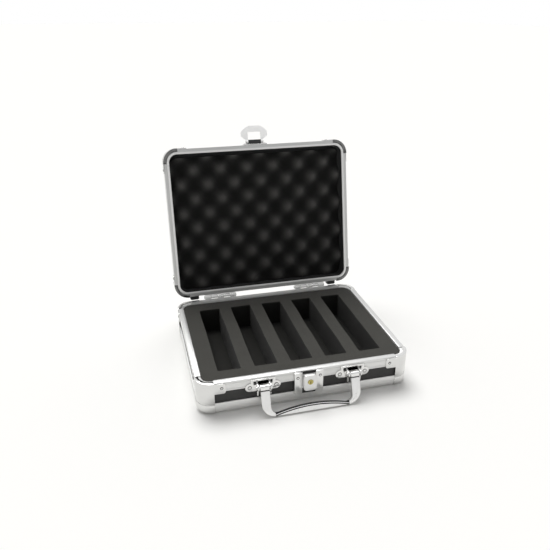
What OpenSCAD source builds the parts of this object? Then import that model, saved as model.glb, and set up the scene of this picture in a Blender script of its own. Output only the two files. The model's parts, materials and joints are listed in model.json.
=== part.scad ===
/* [Case] */
// Inside width of the case, left to right
inner_w = 220; // [212:1:240]
// Inside depth of the case, front to back
inner_d = 172.4; // [164:0.2:190]
// Inside corner radius of the frames, seen from above
inner_r = 10; // [10:0.5:14]
// Height of the base, from the table to its rim plane
base_h = 38.5; // [37:0.5:46]
// Height of the lid, from its rim plane to its outer face
lid_h = 26; // [24:0.5:34]
// Gap between the two rims when the lid is closed
rim_gap = 0.3; // [0.2:0.05:0.5]
// Angle through which the lid stands open
open_angle = 101.7; // [90:0.1:104]

/* [Wall extrusions] */
// Thickness of each skin of an extrusion
skin_t = 1.3; // [1.1:0.1:1.5]
// Thickness of the wall panels
panel_t = 3.2; // [2.8:0.1:3.6]
// Clearance of a panel in its channel, each side
panel_gap = 0.1; // [0.05:0.05:0.2]
// Thickness of the floor panel and of the lid's top panel
floor_t = 3; // [2.4:0.1:3.2]
// Height of the base's rim extrusion
base_rim_h = 11; // [9:0.5:12]
// Height of the lid's rim extrusion
lid_rim_h = 10; // [8:0.5:11]
// Height of the base's lower edge extrusion
base_edge_h = 14; // [12:0.5:15]
// Height of the lid's upper edge extrusion
lid_edge_h = 12; // [10:0.5:12.5]
// Thickness of the web under a rim
web_t = 3; // [2.2:0.1:3.5]
// Width of the flange that holds the floor panel
flange_w = 9.5; // [6:0.5:9.5]
// Width of the raised lip along the lid's inner edge
lip_w = 2.4; // [1.8:0.1:2.5]
// Height of the lip above the lid's rim plane
lip_h = 0.2; // [0.1:0.05:0.25]
// Width of the recess inside the corner caps of the base's rim
recess_w = 2.8; // [2:0.1:2.8]
// Depth of that recess
recess_d = 1.3; // [0.8:0.1:1.6]
// Width of the two grooves along each rim's outer face
groove_w = 0.6; // [0.3:0.1:0.8]
// Depth of those grooves
groove_d = 0.35; // [0.1:0.05:0.6]
// Distance of the first groove from the rim plane
groove_drop = 2.6; // [1.5:0.1:3.5]

/* [Corner caps] */
// Thickness of the cap sheet
cap_t = 1; // [0.6:0.1:1.2]
// Straight stretch of a cap beyond the rounded corner
cap_reach = 1; // [0.6:0.1:3]
// Width of the rim band that stays inside the cap's top wrap
cap_wrap_in = 2.9; // [2.9:0.1:3.6]
// Length of the riveted ear beyond the cap's edge
ear_len = 11.6; // [9:0.2:14]
// Height of the ear
ear_h = 12; // [9:0.5:13]
// Distance of the ear's top from the rim plane
ear_drop = 1; // [1:0.1:2]
// Corner radius of the ear's free end
ear_r = 2.5; // [1:0.1:4]
// Gap between the cap's lower edge and the outer face of the case
cap_foot_gap = 0.3; // [0.2:0.1:1]
// Distance of the cap's seam below the top of the edge extrusion
cap_seam_drop = 1.5; // [0.8:0.1:3]
// Depth of the seam groove
cap_seam_d = 0.35; // [0.1:0.05:0.5]
// Width of the seam groove
cap_seam_w = 0.5; // [0.2:0.1:0.8]
// Distance of the cap rivet from the cap's edge
cap_rivet_in = 7.5; // [5:0.1:8.5]
// Distance of the cap rivet below the rim plane
cap_rivet_drop = 6.5; // [5:0.1:8]

/* [Rivets] */
// Head radius of the small rivets on caps, hinges, lock and hasp
rivet_r = 1.8; // [1.2:0.1:2]
// Head radius of the handle's rivets
handle_rivet_r = 2.4; // [1.8:0.1:3]
// Height of a rivet head
rivet_dome = 0.8; // [0.4:0.1:1]
// Radius of the dimple in a rivet head
rivet_dimple_r = 0.7; // [0.4:0.1:0.9]
// Depth of that dimple
rivet_dimple_d = 0.5; // [0.2:0.1:0.6]

/* [Foam] */
// Clearance round a foam insert
foam_gap = 0.3; // [0.2:0.1:1]
// Distance of the slotted foam's top below the rim plane
foam_drop = 2; // [1.6:0.1:6]
// Thickness of the pad under the slotted foam
pad_t = 1.6; // [1:0.1:4]
// Number of slots
slot_n = 5; // [2:1:5]
// Width of a slot
slot_w = 24.5; // [16:0.5:28]
// Length of a slot
slot_l = 136; // [100:1:150]
// Distance from one slot to the next
slot_pitch = 39.4; // [34:0.2:42]
// Gap that holds the glue between the egg-crate foam and the lid's top panel
glue_gap = 0.1; // [0.05:0.05:0.3]
// Thickness of the lid's lining
lining_t = 1; // [0.6:0.1:1.6]
// Distance of the lining's edge below the lid's rim plane
lining_drop = 1.5; // [1:0.1:4]
// Distance of the foam peaks below the lid's rim plane
peak_drop = 3.5; // [2:0.1:6]
// Thickness of the egg-crate foam at its valleys
valley_t = 6; // [3:0.5:8]
// Distance from one peak to the next along a row
peak_pitch_x = 33.6; // [24:0.2:44]
// Distance over which two rows of peaks repeat
peak_pitch_y = 36; // [24:0.5:44]
// Sideways place of a peak near the foam's middle
peak_shift_x = -13.6; // [-20:0.2:20]
// Place of that peak from the middle toward the hinges
peak_shift_y = 5; // [-20:0.2:20]

/* [Hinges] */
// Distance of a hinge's middle from the start of the corner rounding
hinge_in = 40; // [36:1:50]
// Length of a hinge
hinge_l = 40; // [30:1:44]
// Distance of the hinge axis behind the rear wall
axis_out = 3.4; // [3.2:0.1:3.8]
// Height of the hinge axis above the base's rim plane
axis_up = 1.5; // [1.4:0.1:1.8]
// Knuckle radius
knuckle_r = 2.2; // [2:0.1:2.2]
// Hinge pin radius
pin_r = 1.1; // [0.9:0.05:1.2]
// Thickness of a hinge leaf
leaf_t = 0.9; // [0.7:0.1:0.9]
// Height of a hinge leaf
leaf_h = 10.3; // [8:0.1:11]
// Gap between neighbouring knuckles
knuckle_gap = 0.3; // [0.2:0.05:0.6]
// Running clearance of a moving bore round its pin
running_fit = 0.05; // [0.02:0.01:0.1]
// Clearance of a fixed bore round its pin
tight_fit = 0.01; // [0.01:0.01:0.02]

/* [Rear feet] */
// Distance of a rear foot's middle from the start of the corner rounding
foot_in = 7.5; // [7:0.5:12]
// Width of a rear foot
foot_w = 11; // [8:0.5:11.5]
// Height of a rear foot
foot_h = 8; // [6:0.5:10]
// Distance by which a rear foot stands out of the rear wall
foot_out = 6; // [5.6:0.1:6.6]
// Corner radius of a rear foot
foot_r = 1; // [0.5:0.1:2]
// Width and depth of the step round a rear foot's outer face
foot_step = 0.8; // [0.6:0.1:1.2]
// Angle left between the feet when the lid stands open
stop_play = 2.6; // [1.5:0.1:5]

/* [Handle] */
// Distance of a handle leg's middle from the case's middle
leg_x = 48.7; // [44:0.1:56]
// Width of a handle leg
leg_w = 9.3; // [7:0.1:10]
// Thickness of the handle
handle_t = 4.5; // [3.5:0.1:5]
// Distance of the handle pivot below the rim plane
handle_pivot_drop = 8.5; // [7.5:0.1:9.5]
// Distance of the handle pivot from the front wall
handle_pivot_out = 6.8; // [6.4:0.1:8]
// Distance from the pivot to the grip's lower edge
handle_drop = 31; // [29:0.1:36]
// Distance from the pivot to the window's edge at mid grip
grip_drop = 23.7; // [21:0.1:24]
// Radius of the arched edge of the grip
grip_arch_r = 156; // [140:1:400]
// Radius of the handle's outer corners
handle_corner_r = 14; // [8:0.5:16]
// Radius of the handle's inner corners
window_corner_r = 6.5; // [4:0.5:8]
// Width of the grooves across the legs and along the grip
handle_groove_w = 0.9; // [0.5:0.1:1.4]
// Depth of those grooves
handle_groove_d = 0.8; // [0.4:0.1:1.1]
// Distance of the grip's groove from its arched edge
grip_groove_in = 1.4; // [1:0.1:1.8]
// Radius of the barrel at the top of a leg
barrel_r = 2.6; // [2.3:0.1:2.8]
// Radius of the handle pins
handle_pin_r = 1.2; // [1:0.05:1.4]
// Gap between the resting grip and the table
table_gap = 0.2; // [0.1:0.05:0.5]

/* [Handle brackets] */
// Thickness of a bracket's back plate
bracket_t = 1.2; // [0.8:0.1:1.5]
// Distance of a lobe's middle from the leg's middle
lobe_x = 14; // [12.5:0.1:16]
// Radius of a lobe
lobe_r = 4.7; // [3.5:0.1:5]
// Distance of a lobe's middle below the rim plane
lobe_drop = 11; // [10.5:0.1:11.5]
// Half width of the plate above the lobes
bracket_top_x = 13; // [11.5:0.1:14]
// Distance of the plate's top below the rim plane
bracket_top_drop = 1.7; // [1.5:0.1:2.5]
// Half width of the roof bar over the window
roof_x = 11.5; // [10.2:0.1:11.5]
// Thickness of the roof bar
roof_t = 2.2; // [1:0.1:2.4]
// Distance by which the roof bar stands out of the wall
roof_out = 2; // [1.4:0.1:3]
// Half width of the window behind the handle leg
slot_x = 10; // [8:0.1:10]
// Height of that window
slot_h = 4.1; // [2:0.1:4.4]
// Side gap between a leg and its cheeks
leg_gap = 1.1; // [0.3:0.1:1.2]
// Thickness of a cheek
cheek_t = 1.8; // [1.2:0.1:2]
// Radius of a cheek round the pin
cheek_r = 3.2; // [2.6:0.1:3.4]
// Distance of a cheek's foot below the rim plane
cheek_foot_drop = 18; // [16.5:0.1:19.5]
// Distance by which a cheek's foot stands out of the wall
cheek_foot_out = 6.4; // [2.5:0.1:6.4]

/* [Lock] */
// Half width of the lock housing
lock_x = 15.5; // [14:0.1:17]
// Half width of the mouth between the housing's cheeks
lock_mouth_x = 7.3; // [6.5:0.1:7.5]
// Length of the housing, top to bottom
lock_l = 27.5; // [26:0.1:29]
// Distance of the housing's top below the rim plane
lock_top_drop = 0.5; // [0.3:0.1:1.1]
// Distance by which the cheeks stand out of the wall
lock_out = 3.2; // [2.8:0.1:3.2]
// Corner radius of the housing's lower corners
lock_corner_r = 2.5; // [1:0.1:4]
// Thickness of the housing's back
lock_back_t = 0.6; // [0.4:0.1:0.7]
// Thickness of the dark liner behind the cap
liner_t = 0.4; // [0.3:0.1:0.5]
// Side gap of the cap between the cheeks, and of its flanges
cap_side_gap = 0.3; // [0.15:0.05:0.4]
// Height of the cap's face, from its lower edge to its shoulder
catch_h = 16.8; // [16:0.1:18]
// Distance of the cap's shoulder below the rim plane
catch_top_drop = 3.5; // [3.5:0.1:4.1]
// Height of the hook in front of the shoulder
hook_h = 1.8; // [1:0.1:1.8]
// Thickness of the hook
hook_t = 1.7; // [1.2:0.1:1.9]
// Distance by which the cap stands out of the wall
catch_out = 8.5; // [8:0.1:9]
// Corner radius of the cap's face
catch_corner_r = 3.5; // [1.5:0.1:5]
// Thickness of the cap's guide flanges
guide_t = 1; // [0.6:0.1:1.1]
// Width of the guide flanges
guide_w = 1.5; // [0.8:0.1:2]
// Radius of the key cylinder
key_r = 2.9; // [2.2:0.1:3.2]
// Distance of the key cylinder's axis below the rim plane
key_drop = 9.8; // [8.5:0.1:9.9]
// Length of the key cylinder in the cap
key_l = 2.9; // [2:0.1:3]
// Distance by which the key cylinder stands out of the cap
key_proud = 0.4; // [0.2:0.1:0.4]
// Outer radius of the catch spring
catch_spring_r = 1.6; // [1.2:0.1:1.8]
// Wire thickness of the catch spring
spring_wire = 0.6; // [0.3:0.05:0.8]

/* [Hasp] */
// Width of the hasp bracket
hasp_plate_w = 29.5; // [24:0.1:34]
// Height of the hasp bracket
hasp_plate_h = 13; // [8:0.1:13]
// Thickness of the hasp bracket
hasp_plate_t = 1.2; // [0.8:0.1:1.4]
// Height of the hasp pin above the closed lid's rim plane
hasp_pin_up = 16; // [15.5:0.1:17]
// Distance of the hasp pin from the front wall
hasp_pin_out = 3.7; // [3.6:0.1:3.9]
// Radius of the hasp pin
hasp_pin_r = 1.2; // [0.9:0.05:1.3]
// Width of the hinge block
block_w = 15.6; // [12:0.1:16]
// Height of the hinge block
block_h = 6; // [5.4:0.1:6.4]
// Depth of the hinge block
block_d = 5; // [4.9:0.05:5.1]
// Thickness of the loop
loop_t = 2; // [1.4:0.1:2]
// Radius of the loop's round sides
loop_r = 17; // [15:0.1:20]
// Half width of the loop at its widest
loop_x = 18; // [14:0.1:18]
// Radius of the loop's arched end
loop_end_r = 22; // [19:0.5:40]
// Distance from the pin to the crown of that arch, cut off flat at the lower edge
loop_end_drop = 20.5; // [19.5:0.1:21.5]
// Distance from the pin to the loop's lower edge
loop_drop = 19.5; // [19.2:0.1:19.5]
// Half width of the loop's window
loop_window_x = 8.2; // [8:0.1:8.8]
// Distance from the pin to the window's lower edge
loop_window_drop = 12; // [9:0.1:13]
// Radius of the rolled finger tab
tab_r = 2; // [1.2:0.1:2]
// Length of the finger tab
tab_l = 14.6; // [8:0.1:20]
// Radius of the loop's knuckles round the pin
loop_knuckle_r = 2.3; // [1.9:0.1:2.4]

/* [Hidden] */
$fn = 48;

// Section sizes
wall_t = 2 * skin_t + 2 * panel_gap + panel_t;
channel_floor = wall_t - 0.2;
floor_slot_in = 0.8;
floor_panel_z = skin_t + panel_gap;
floor_top_z = floor_panel_z + floor_t;
panel_low_z = channel_floor + panel_gap;
groove_end = 1.8;

// Plan sizes: centre of the corner arcs, and the outer faces
corner_x = inner_w / 2 - inner_r;
corner_y = inner_d / 2 - inner_r;
front_y = -inner_d / 2 - wall_t;
rear_y = inner_d / 2 + wall_t;

// Lid hinge axis and the lid's place
axis_y = rear_y + axis_out;
axis_z = base_h + axis_up;
lid_rim_z = base_h + rim_gap;
lid_top_z = lid_rim_z + lid_h;

// Hinge parts
hinge_x = corner_x - hinge_in;
knuckle_n = 5;
knuckle_l = (hinge_l - (knuckle_n - 1) * knuckle_gap) / knuckle_n;
web_clear = 0.15;
leaf_low = 1.7;
leaf_up = 0.4;
pin_head_r = 1.8;
pin_head_t = 0.8;
leaf_rivet_x = 13;

// Rear feet: both edges lie at equal angles from the axis, so they meet when the lid is open
foot_x = corner_x - foot_in;
foot_edge = (foot_out - axis_out) * tan((open_angle + stop_play) / 2);

// Handle: tilt at which the grip's lower edge rests just above the table
pivot_y = front_y - handle_pivot_out;
handle_pivot_z = base_h - handle_pivot_drop;
grip_far = norm([handle_drop, handle_t / 2]);
grip_reach = handle_pivot_z - table_gap;
handle_tilt = atan(handle_t / 2 / handle_drop) + (grip_reach < grip_far ? acos(grip_reach / grip_far) : 0);
leg_in = leg_x - leg_w / 2;
arch_z = -grip_drop - grip_arch_r;
fillet_x = leg_in - window_corner_r;
fillet_z = arch_z + sqrt(pow(grip_arch_r + window_corner_r, 2) - pow(fillet_x, 2));

// Handle brackets
cheek_x = leg_w / 2 + leg_gap;
cheek_foot_z = base_h - cheek_foot_drop;
lobe_z = base_h - lobe_drop;
bracket_top_z = base_h - bracket_top_drop;
slot_top_z = bracket_top_z - roof_t;

// Lock: planes of the liner, cap, guides and cheeks, measured from the front wall
liner_out = lock_back_t + liner_t;
catch_back_out = liner_out + 0.2;
guide_front_out = catch_back_out + guide_t;
groove_front_out = guide_front_out + 0.2;
catch_x = lock_mouth_x - cap_side_gap;
guide_x = catch_x + guide_w;
groove_x = guide_x + cap_side_gap;
lock_top_z = base_h - lock_top_drop;
lock_low_z = lock_top_z - lock_l;
catch_top_z = base_h - catch_top_drop;
catch_low_z = catch_top_z - catch_h;
key_z = base_h - key_drop;
lock_back_low_z = lock_low_z + 0.4;
ledge_t = 1;
ledge_z = catch_low_z + 0.2 - ledge_t;
ledge_x = 2;
spring_out = liner_out + 0.6 + catch_spring_r;
ledge_out = spring_out + catch_spring_r + 0.1;
pocket_x = ledge_x + 0.4;
pocket_out = ledge_out + 0.4;
pocket_roof = 10;
pocket_top_z = catch_top_z - pocket_roof;
keyhole_w = 0.9;
keyhole_h = 3.2;
keyhole_d = 1.6;
lock_rivet_x = (lock_x + groove_x) / 2;
lock_rivet_z = lock_top_z - 6;

// Hasp: pin place on the closed lid, and the sizes of its parts
hasp_y = front_y - hasp_pin_out;
hasp_z = lid_rim_z + hasp_pin_up;
loop_back = 0.1;
loop_arm_x = block_w / 2 + 0.3;
loop_arm_w = 2.4;
loop_waist_x = loop_arm_x + loop_arm_w;
bar_x = lock_mouth_x - 0.6;
bar_h = 2.7;
bar_back = 1.9;
bar_front = 2.6;
tab_drop = 15.5;
hasp_rivet_x = hasp_plate_w / 2 - 2.4;
hasp_plate_z = hasp_z - 1.3;
loop_middle_drop = loop_r - 7;
loop_shoulder_drop = 8;
pin_end_r = hasp_pin_r + 0.5;
pin_end_t = 0.6;
loop_neck_drop = pin_end_r + 0.3;
hasp_spring_r = hasp_pin_r + 0.7;
hasp_spring_l = 6;
block_hollow_w = hasp_spring_l + 0.4;
block_hollow_h = 2 * hasp_spring_r + 1;
block_front_t = 0.5;

// Egg-crate foam: grid of cells over the lid's opening
crate_nx = 36;
crate_ny = 28;
crate_x = inner_w / 2 - lining_t - foam_gap;
crate_y = inner_d / 2 - lining_t - foam_gap;
crate_r = inner_r - lining_t - foam_gap;
crate_low = floor_top_z + valley_t;
crate_high = lid_h - peak_drop;

// Rounded rectangle centred on the origin
module rounded_rect(w, d, r) {
    square([w - 2 * r, d], center = true);
    square([w, d - 2 * r], center = true);
    for (x = [-1, 1], y = [-1, 1])
        translate([x * (w / 2 - r), y * (d / 2 - r)]) circle(r = r);
}

// Plate on the front wall: the outline's y is height, and the plate runs from one distance to another
module on_front(from_out, to_out) {
    translate([0, front_y - from_out, 0])
        rotate([90, 0, 0]) linear_extrude(to_out - from_out) children();
}

// Plate on the rear wall, placed the same way
module on_rear(from_out, to_out) {
    translate([0, rear_y + to_out, 0])
        rotate([90, 0, 0]) linear_extrude(to_out - from_out) children();
}

// Part on the left, mirrored from the right
module left() {
    mirror([1, 0, 0]) children();
}

// Lid parts are drawn like base parts, with the outer face at z = 0, and then turned over
module as_lid() {
    translate([0, 0, lid_top_z]) mirror([0, 0, 1]) children();
}

// Turns the closed lid open about the hinge axis
module opened() {
    translate([0, axis_y, axis_z]) rotate([-open_angle, 0, 0])
        translate([0, -axis_y, -axis_z]) children();
}

// Swings the closed hasp out, square to the lid's wall
module hasp_out() {
    translate([0, hasp_y, hasp_z]) rotate([-90, 0, 0])
        translate([0, -hasp_y, -hasp_z]) children();
}

// Sweeps a wall section round the corner at +X +Y: its x is the distance out of the inner face
module quarter_sweep(reach_x, reach_y) {
    translate([corner_x, corner_y, 0]) {
        rotate_extrude(angle = 90) translate([inner_r, 0]) children();
        if (reach_y > 0)
            translate([inner_r, 0, 0]) rotate([90, 0, 0]) linear_extrude(reach_y) children();
        if (reach_x > 0)
            mirror([1, -1, 0])
                translate([inner_r, 0, 0]) rotate([90, 0, 0]) linear_extrude(reach_x) children();
    }
}

module four_corners() {
    for (x = [0, 1], y = [0, 1])
        mirror([x, 0, 0]) mirror([0, y, 0]) children();
}

module wall_ring() {
    four_corners() quarter_sweep(corner_x, corner_y) children();
}

// Rivet head along +Z, with a dimple
module rivet(r) {
    cap_r = (r * r + rivet_dome * rivet_dome) / (2 * rivet_dome);
    difference() {
        rotate_extrude() intersection() {
            translate([0, rivet_dome - cap_r]) circle(r = cap_r);
            square([r, rivet_dome]);
        }
        translate([0, 0, rivet_dome - rivet_dimple_d]) cylinder(r = rivet_dimple_r, h = 1);
    }
}

module front_rivet(x, z, out, r) {
    translate([x, front_y - out, z]) rotate([90, 0, 0]) rivet(r);
}

module rear_rivet(x, z, out) {
    translate([x, rear_y + out, z]) rotate([-90, 0, 0]) rivet(rivet_r);
}

// Section of a rim extrusion with its top at h
module rim_section(h, rim_h, lip) {
    difference() {
        union() {
            translate([0, h - rim_h]) square([skin_t, rim_h]);
            translate([wall_t - skin_t, h - rim_h]) square([skin_t, rim_h]);
            translate([0, h - web_t]) square([wall_t, web_t]);
            if (lip > 0)
                translate([0, h - 1]) square([lip_w, lip + 1]);
        }
        for (drop = [groove_drop, rim_h - groove_end])
            translate([wall_t - groove_d, h - drop - groove_w / 2]) square([groove_d + 1, groove_w]);
    }
}

// Rim with its outer band cut down at the corners for the caps
module rim(h, rim_h, lip) {
    difference() {
        wall_ring() rim_section(h, rim_h, lip);
        four_corners() quarter_sweep(cap_reach + 0.1, cap_reach + 0.1)
            translate([cap_wrap_in - 0.1, h - cap_t]) square([wall_t, cap_t + 1]);
    }
}

// Edge extrusion: rounded outside, with a channel for the wall panel and a slot for the floor
module edge_frame(edge_h) {
    wall_ring() difference() {
        union() {
            intersection() {
                translate([0, wall_t]) circle(r = wall_t);
                square(wall_t);
            }
            translate([0, wall_t]) square([wall_t, edge_h - wall_t]);
            translate([-flange_w, 0]) square([flange_w, skin_t]);
        }
        translate([skin_t, channel_floor]) square([wall_t - 2 * skin_t, edge_h]);
        translate([-1, skin_t]) square([1 + floor_slot_in, floor_t + 0.3]);
    }
}

// Wall panel along X at the given side, -1 for the front and 1 for the rear
module long_panel(side, h) {
    y = side > 0 ? inner_d / 2 + skin_t + panel_gap : -inner_d / 2 - skin_t - panel_gap - panel_t;
    translate([-corner_x + panel_gap, y, panel_low_z])
        cube([2 * corner_x - 2 * panel_gap, panel_t, h - web_t - 2 * panel_gap - panel_low_z]);
}

// Wall panel along Y on the right; the left one is mirrored
module short_panel(h) {
    translate([inner_w / 2 + skin_t + panel_gap, -corner_y + panel_gap, panel_low_z])
        cube([panel_t, 2 * corner_y - 2 * panel_gap, h - web_t - 2 * panel_gap - panel_low_z]);
}

module corner_posts(h) {
    four_corners() quarter_sweep(0, 0) translate([skin_t + panel_gap, panel_low_z])
        square([panel_t, h - web_t - 2 * panel_gap - panel_low_z]);
}

module floor_panel() {
    grow = floor_slot_in - 0.2;
    translate([0, 0, floor_panel_z]) linear_extrude(floor_t)
        rounded_rect(inner_w + 2 * grow, inner_d + 2 * grow, inner_r + grow);
}

// Section of a corner cap: top wrap, upright sheet and rolled lower edge, with a seam
module cap_section(h, edge_h) {
    difference() {
        union() {
            translate([cap_wrap_in, h - cap_t]) square([wall_t + cap_t - cap_wrap_in, cap_t]);
            translate([wall_t, wall_t]) square([cap_t, h - wall_t]);
            intersection() {
                translate([0, wall_t]) difference() {
                    circle(r = wall_t + cap_t);
                    circle(r = wall_t);
                }
                translate([0, cap_foot_gap]) square([wall_t + cap_t, wall_t - cap_foot_gap]);
            }
        }
        translate([wall_t + cap_t - cap_seam_d, edge_h - cap_seam_drop - cap_seam_w / 2])
            square([cap_seam_d + 1, cap_seam_w]);
    }
}

// Ear of a cap, rounded at its free end; its x runs from that end to the corner
module ear_outline() {
    translate([ear_r, 0]) square([ear_len + cap_reach - ear_r, ear_h]);
    translate([0, ear_r]) square([ear_len, ear_h - 2 * ear_r]);
    for (z = [ear_r, ear_h - ear_r])
        translate([ear_r, z]) circle(r = ear_r);
}

// Ear on the +X face of the corner at +X +Y, measured from the corner arc's centre
module cap_ear(h) {
    translate([inner_r + wall_t, -cap_reach - ear_len, h - ear_drop - ear_h])
        rotate([90, 0, 90]) linear_extrude(cap_t) ear_outline();
}

module corner_cap(h, edge_h, front) {
    mirror([0, front ? 1 : 0, 0]) {
        quarter_sweep(cap_reach, cap_reach) cap_section(h, edge_h);
        translate([corner_x, corner_y, 0]) {
            cap_ear(h);
            if (front)
                mirror([1, -1, 0]) cap_ear(h);
        }
    }
}

// Rivets of all four caps: one on each side ear, and one on each front ear
module cap_rivets(h) {
    out = inner_r + wall_t + cap_t;
    for (x = [0, 1], y = [0, 1])
        mirror([x, 0, 0]) mirror([0, y, 0]) translate([corner_x, corner_y, 0]) {
            translate([out, -cap_reach - cap_rivet_in, h - cap_rivet_drop])
                rotate([0, 90, 0]) rivet(rivet_r);
            if (y == 1)
                translate([-cap_reach - cap_rivet_in, out, h - cap_rivet_drop])
                    rotate([-90, 0, 0]) rivet(rivet_r);
        }
}

// Stepped rear foot with its working edge at the given height, reaching away from the axis
module rear_foot(edge_z, direction) {
    middle_z = edge_z + direction * foot_h / 2;
    on_rear(0, foot_out - foot_step)
        translate([foot_x, middle_z]) rounded_rect(foot_w, foot_h, foot_r);
    on_rear(0, foot_out) translate([foot_x, middle_z])
        rounded_rect(foot_w - 2 * foot_step, foot_h - 2 * foot_step, foot_r);
}

// Hinge leaf: plate, and its own knuckles with the webs that carry them
module hinge_leaf(knuckles, side, fit) {
    plate_z = side < 0 ? axis_z - leaf_low - leaf_h : axis_z + leaf_up;
    plate_h = side < 0 ? leaf_h : leaf_h + leaf_low - leaf_up;
    translate([hinge_x, 0, 0]) difference() {
        union() {
            translate([-hinge_l / 2, rear_y, plate_z]) cube([hinge_l, leaf_t, plate_h]);
            for (k = knuckles)
                translate([k * (knuckle_l + knuckle_gap) - hinge_l / 2, 0, 0]) {
                    translate([0, axis_y, axis_z])
                        rotate([0, 90, 0]) cylinder(r = knuckle_r, h = knuckle_l);
                    translate([0, rear_y + web_clear, side < 0 ? axis_z - knuckle_r : axis_z])
                        cube([knuckle_l, axis_out - web_clear, knuckle_r]);
                }
        }
        translate([-hinge_l, axis_y, axis_z])
            rotate([0, 90, 0]) cylinder(r = pin_r + fit, h = 2 * hinge_l);
    }
}

module hinge_pin() {
    translate([hinge_x - hinge_l / 2, axis_y, axis_z]) rotate([0, 90, 0]) {
        cylinder(r = pin_r, h = hinge_l);
        translate([0, 0, -pin_head_t]) cylinder(r = pin_head_r, h = pin_head_t);
        translate([0, 0, hinge_l]) cylinder(r = pin_head_r, h = pin_head_t);
    }
}

module hinge_rivets(z) {
    for (side = [-1, 1], x = [-leaf_rivet_x, 0, leaf_rivet_x])
        rear_rivet(side * hinge_x + x, z, leaf_t);
}

// Handle bracket at the right: lobed plate with a window, a roof bar and two cheeks
module handle_bracket() {
    translate([leg_x, 0, 0]) difference() {
        union() {
            on_front(0, bracket_t) {
                for (x = [-lobe_x, lobe_x])
                    translate([x, lobe_z]) circle(r = lobe_r);
                translate([-lobe_x, lobe_z - lobe_r]) square([2 * lobe_x, 2 * lobe_r]);
                translate([-bracket_top_x, lobe_z])
                    square([2 * bracket_top_x, bracket_top_z - lobe_z]);
            }
            on_front(0, roof_out)
                translate([-roof_x, slot_top_z]) square([2 * roof_x, roof_t]);
            for (side = [0, 1])
                mirror([side, 0, 0]) translate([cheek_x, 0, 0]) cheek();
        }
        for (side = [0, 1])
            mirror([side, 0, 0]) bracket_window();
        translate([-lobe_x, pivot_y, handle_pivot_z])
            rotate([0, 90, 0]) cylinder(r = handle_pin_r + tight_fit, h = 2 * lobe_x);
    }
}

// Cheek seen from the side: a round end at the pin, a body back to the wall and a foot
module cheek() {
    rotate([90, 0, 90]) linear_extrude(cheek_t) {
        translate([pivot_y, handle_pivot_z]) circle(r = cheek_r);
        translate([pivot_y, handle_pivot_z - cheek_r]) square([handle_pivot_out, 2 * cheek_r]);
        translate([front_y - cheek_foot_out, cheek_foot_z])
            square([cheek_foot_out, handle_pivot_z - cheek_foot_z]);
    }
}

// Right half of the window, on both sides of the cheek that crosses it
module bracket_window() {
    low_z = slot_top_z - slot_h;
    on_front(-1, bracket_t + 0.5) {
        translate([-0.01, low_z]) square([cheek_x, slot_h]);
        translate([cheek_x + cheek_t, low_z]) square([slot_x - cheek_x - cheek_t, slot_h]);
    }
}

module handle_pin() {
    half = cheek_x + cheek_t;
    translate([leg_x, pivot_y, handle_pivot_z]) rotate([0, 90, 0]) {
        cylinder(r = handle_pin_r, h = 2 * half, center = true);
        translate([0, 0, half]) rotate_extrude() pin_head();
        mirror([0, 0, 1]) translate([0, 0, half]) rotate_extrude() pin_head();
    }
}

module pin_head() {
    square([handle_pin_r + 0.3, 0.8]);
    square([handle_pin_r + 0.7, 0.5]);
}

// Outline of the handle hanging from its pivot: legs, round corners and arched grip
module handle_outline() {
    out_x = leg_x + leg_w / 2;
    r = handle_corner_r;
    difference() {
        union() {
            translate([-out_x, r - handle_drop]) square([2 * out_x, handle_drop - r]);
            translate([r - out_x, -handle_drop]) square([2 * (out_x - r), handle_drop]);
            for (side = [-1, 1])
                translate([side * (out_x - r), r - handle_drop]) circle(r = r);
        }
        difference() {
            translate([-leg_in, -handle_drop]) square([2 * leg_in, 2 * handle_drop]);
            translate([0, arch_z]) circle(r = grip_arch_r, $fn = 360);
            for (side = [0, 1])
                mirror([side, 0]) window_fillet();
        }
    }
}

// Material left in the window's lower right corner, round to the leg and to the arch
module window_fillet() {
    share = grip_arch_r / (grip_arch_r + window_corner_r);
    touch_x = fillet_x * share;
    touch_z = arch_z + (fillet_z - arch_z) * share;
    difference() {
        polygon([
            [leg_in, fillet_z],
            [fillet_x, fillet_z],
            [touch_x, touch_z],
            [leg_in, -handle_drop - 1]
        ]);
        translate([fillet_x, fillet_z]) circle(r = window_corner_r);
    }
}

module handle() {
    color([0.86, 0.86, 0.85])
    translate([0, pivot_y, handle_pivot_z]) rotate([-handle_tilt, 0, 0]) difference() {
        union() {
            translate([0, handle_t / 2, 0]) rotate([90, 0, 0]) linear_extrude(handle_t)
                handle_outline();
            for (side = [-1, 1])
                translate([side * leg_x, 0, 0])
                    rotate([0, 90, 0]) cylinder(r = barrel_r, h = leg_w, center = true);
        }
        rotate([0, 90, 0])
            cylinder(r = handle_pin_r + running_fit, h = 3 * leg_x, center = true);
        translate([0, handle_groove_d - handle_t / 2, 0])
            rotate([90, 0, 0]) linear_extrude(handle_t) handle_grooves();
    }
}

// Grooves in the handle's front: across each leg below the barrel, and along the grip's arched edge
module handle_grooves() {
    translate([-2 * leg_x, -barrel_r - 0.3 - handle_groove_w]) square([4 * leg_x, handle_groove_w]);
    intersection() {
        translate([-fillet_x, -handle_drop]) square([2 * fillet_x, handle_drop]);
        translate([0, arch_z]) difference() {
            circle(r = grip_arch_r - grip_groove_in, $fn = 360);
            circle(r = grip_arch_r - grip_groove_in - handle_groove_w, $fn = 360);
        }
    }
}

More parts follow.
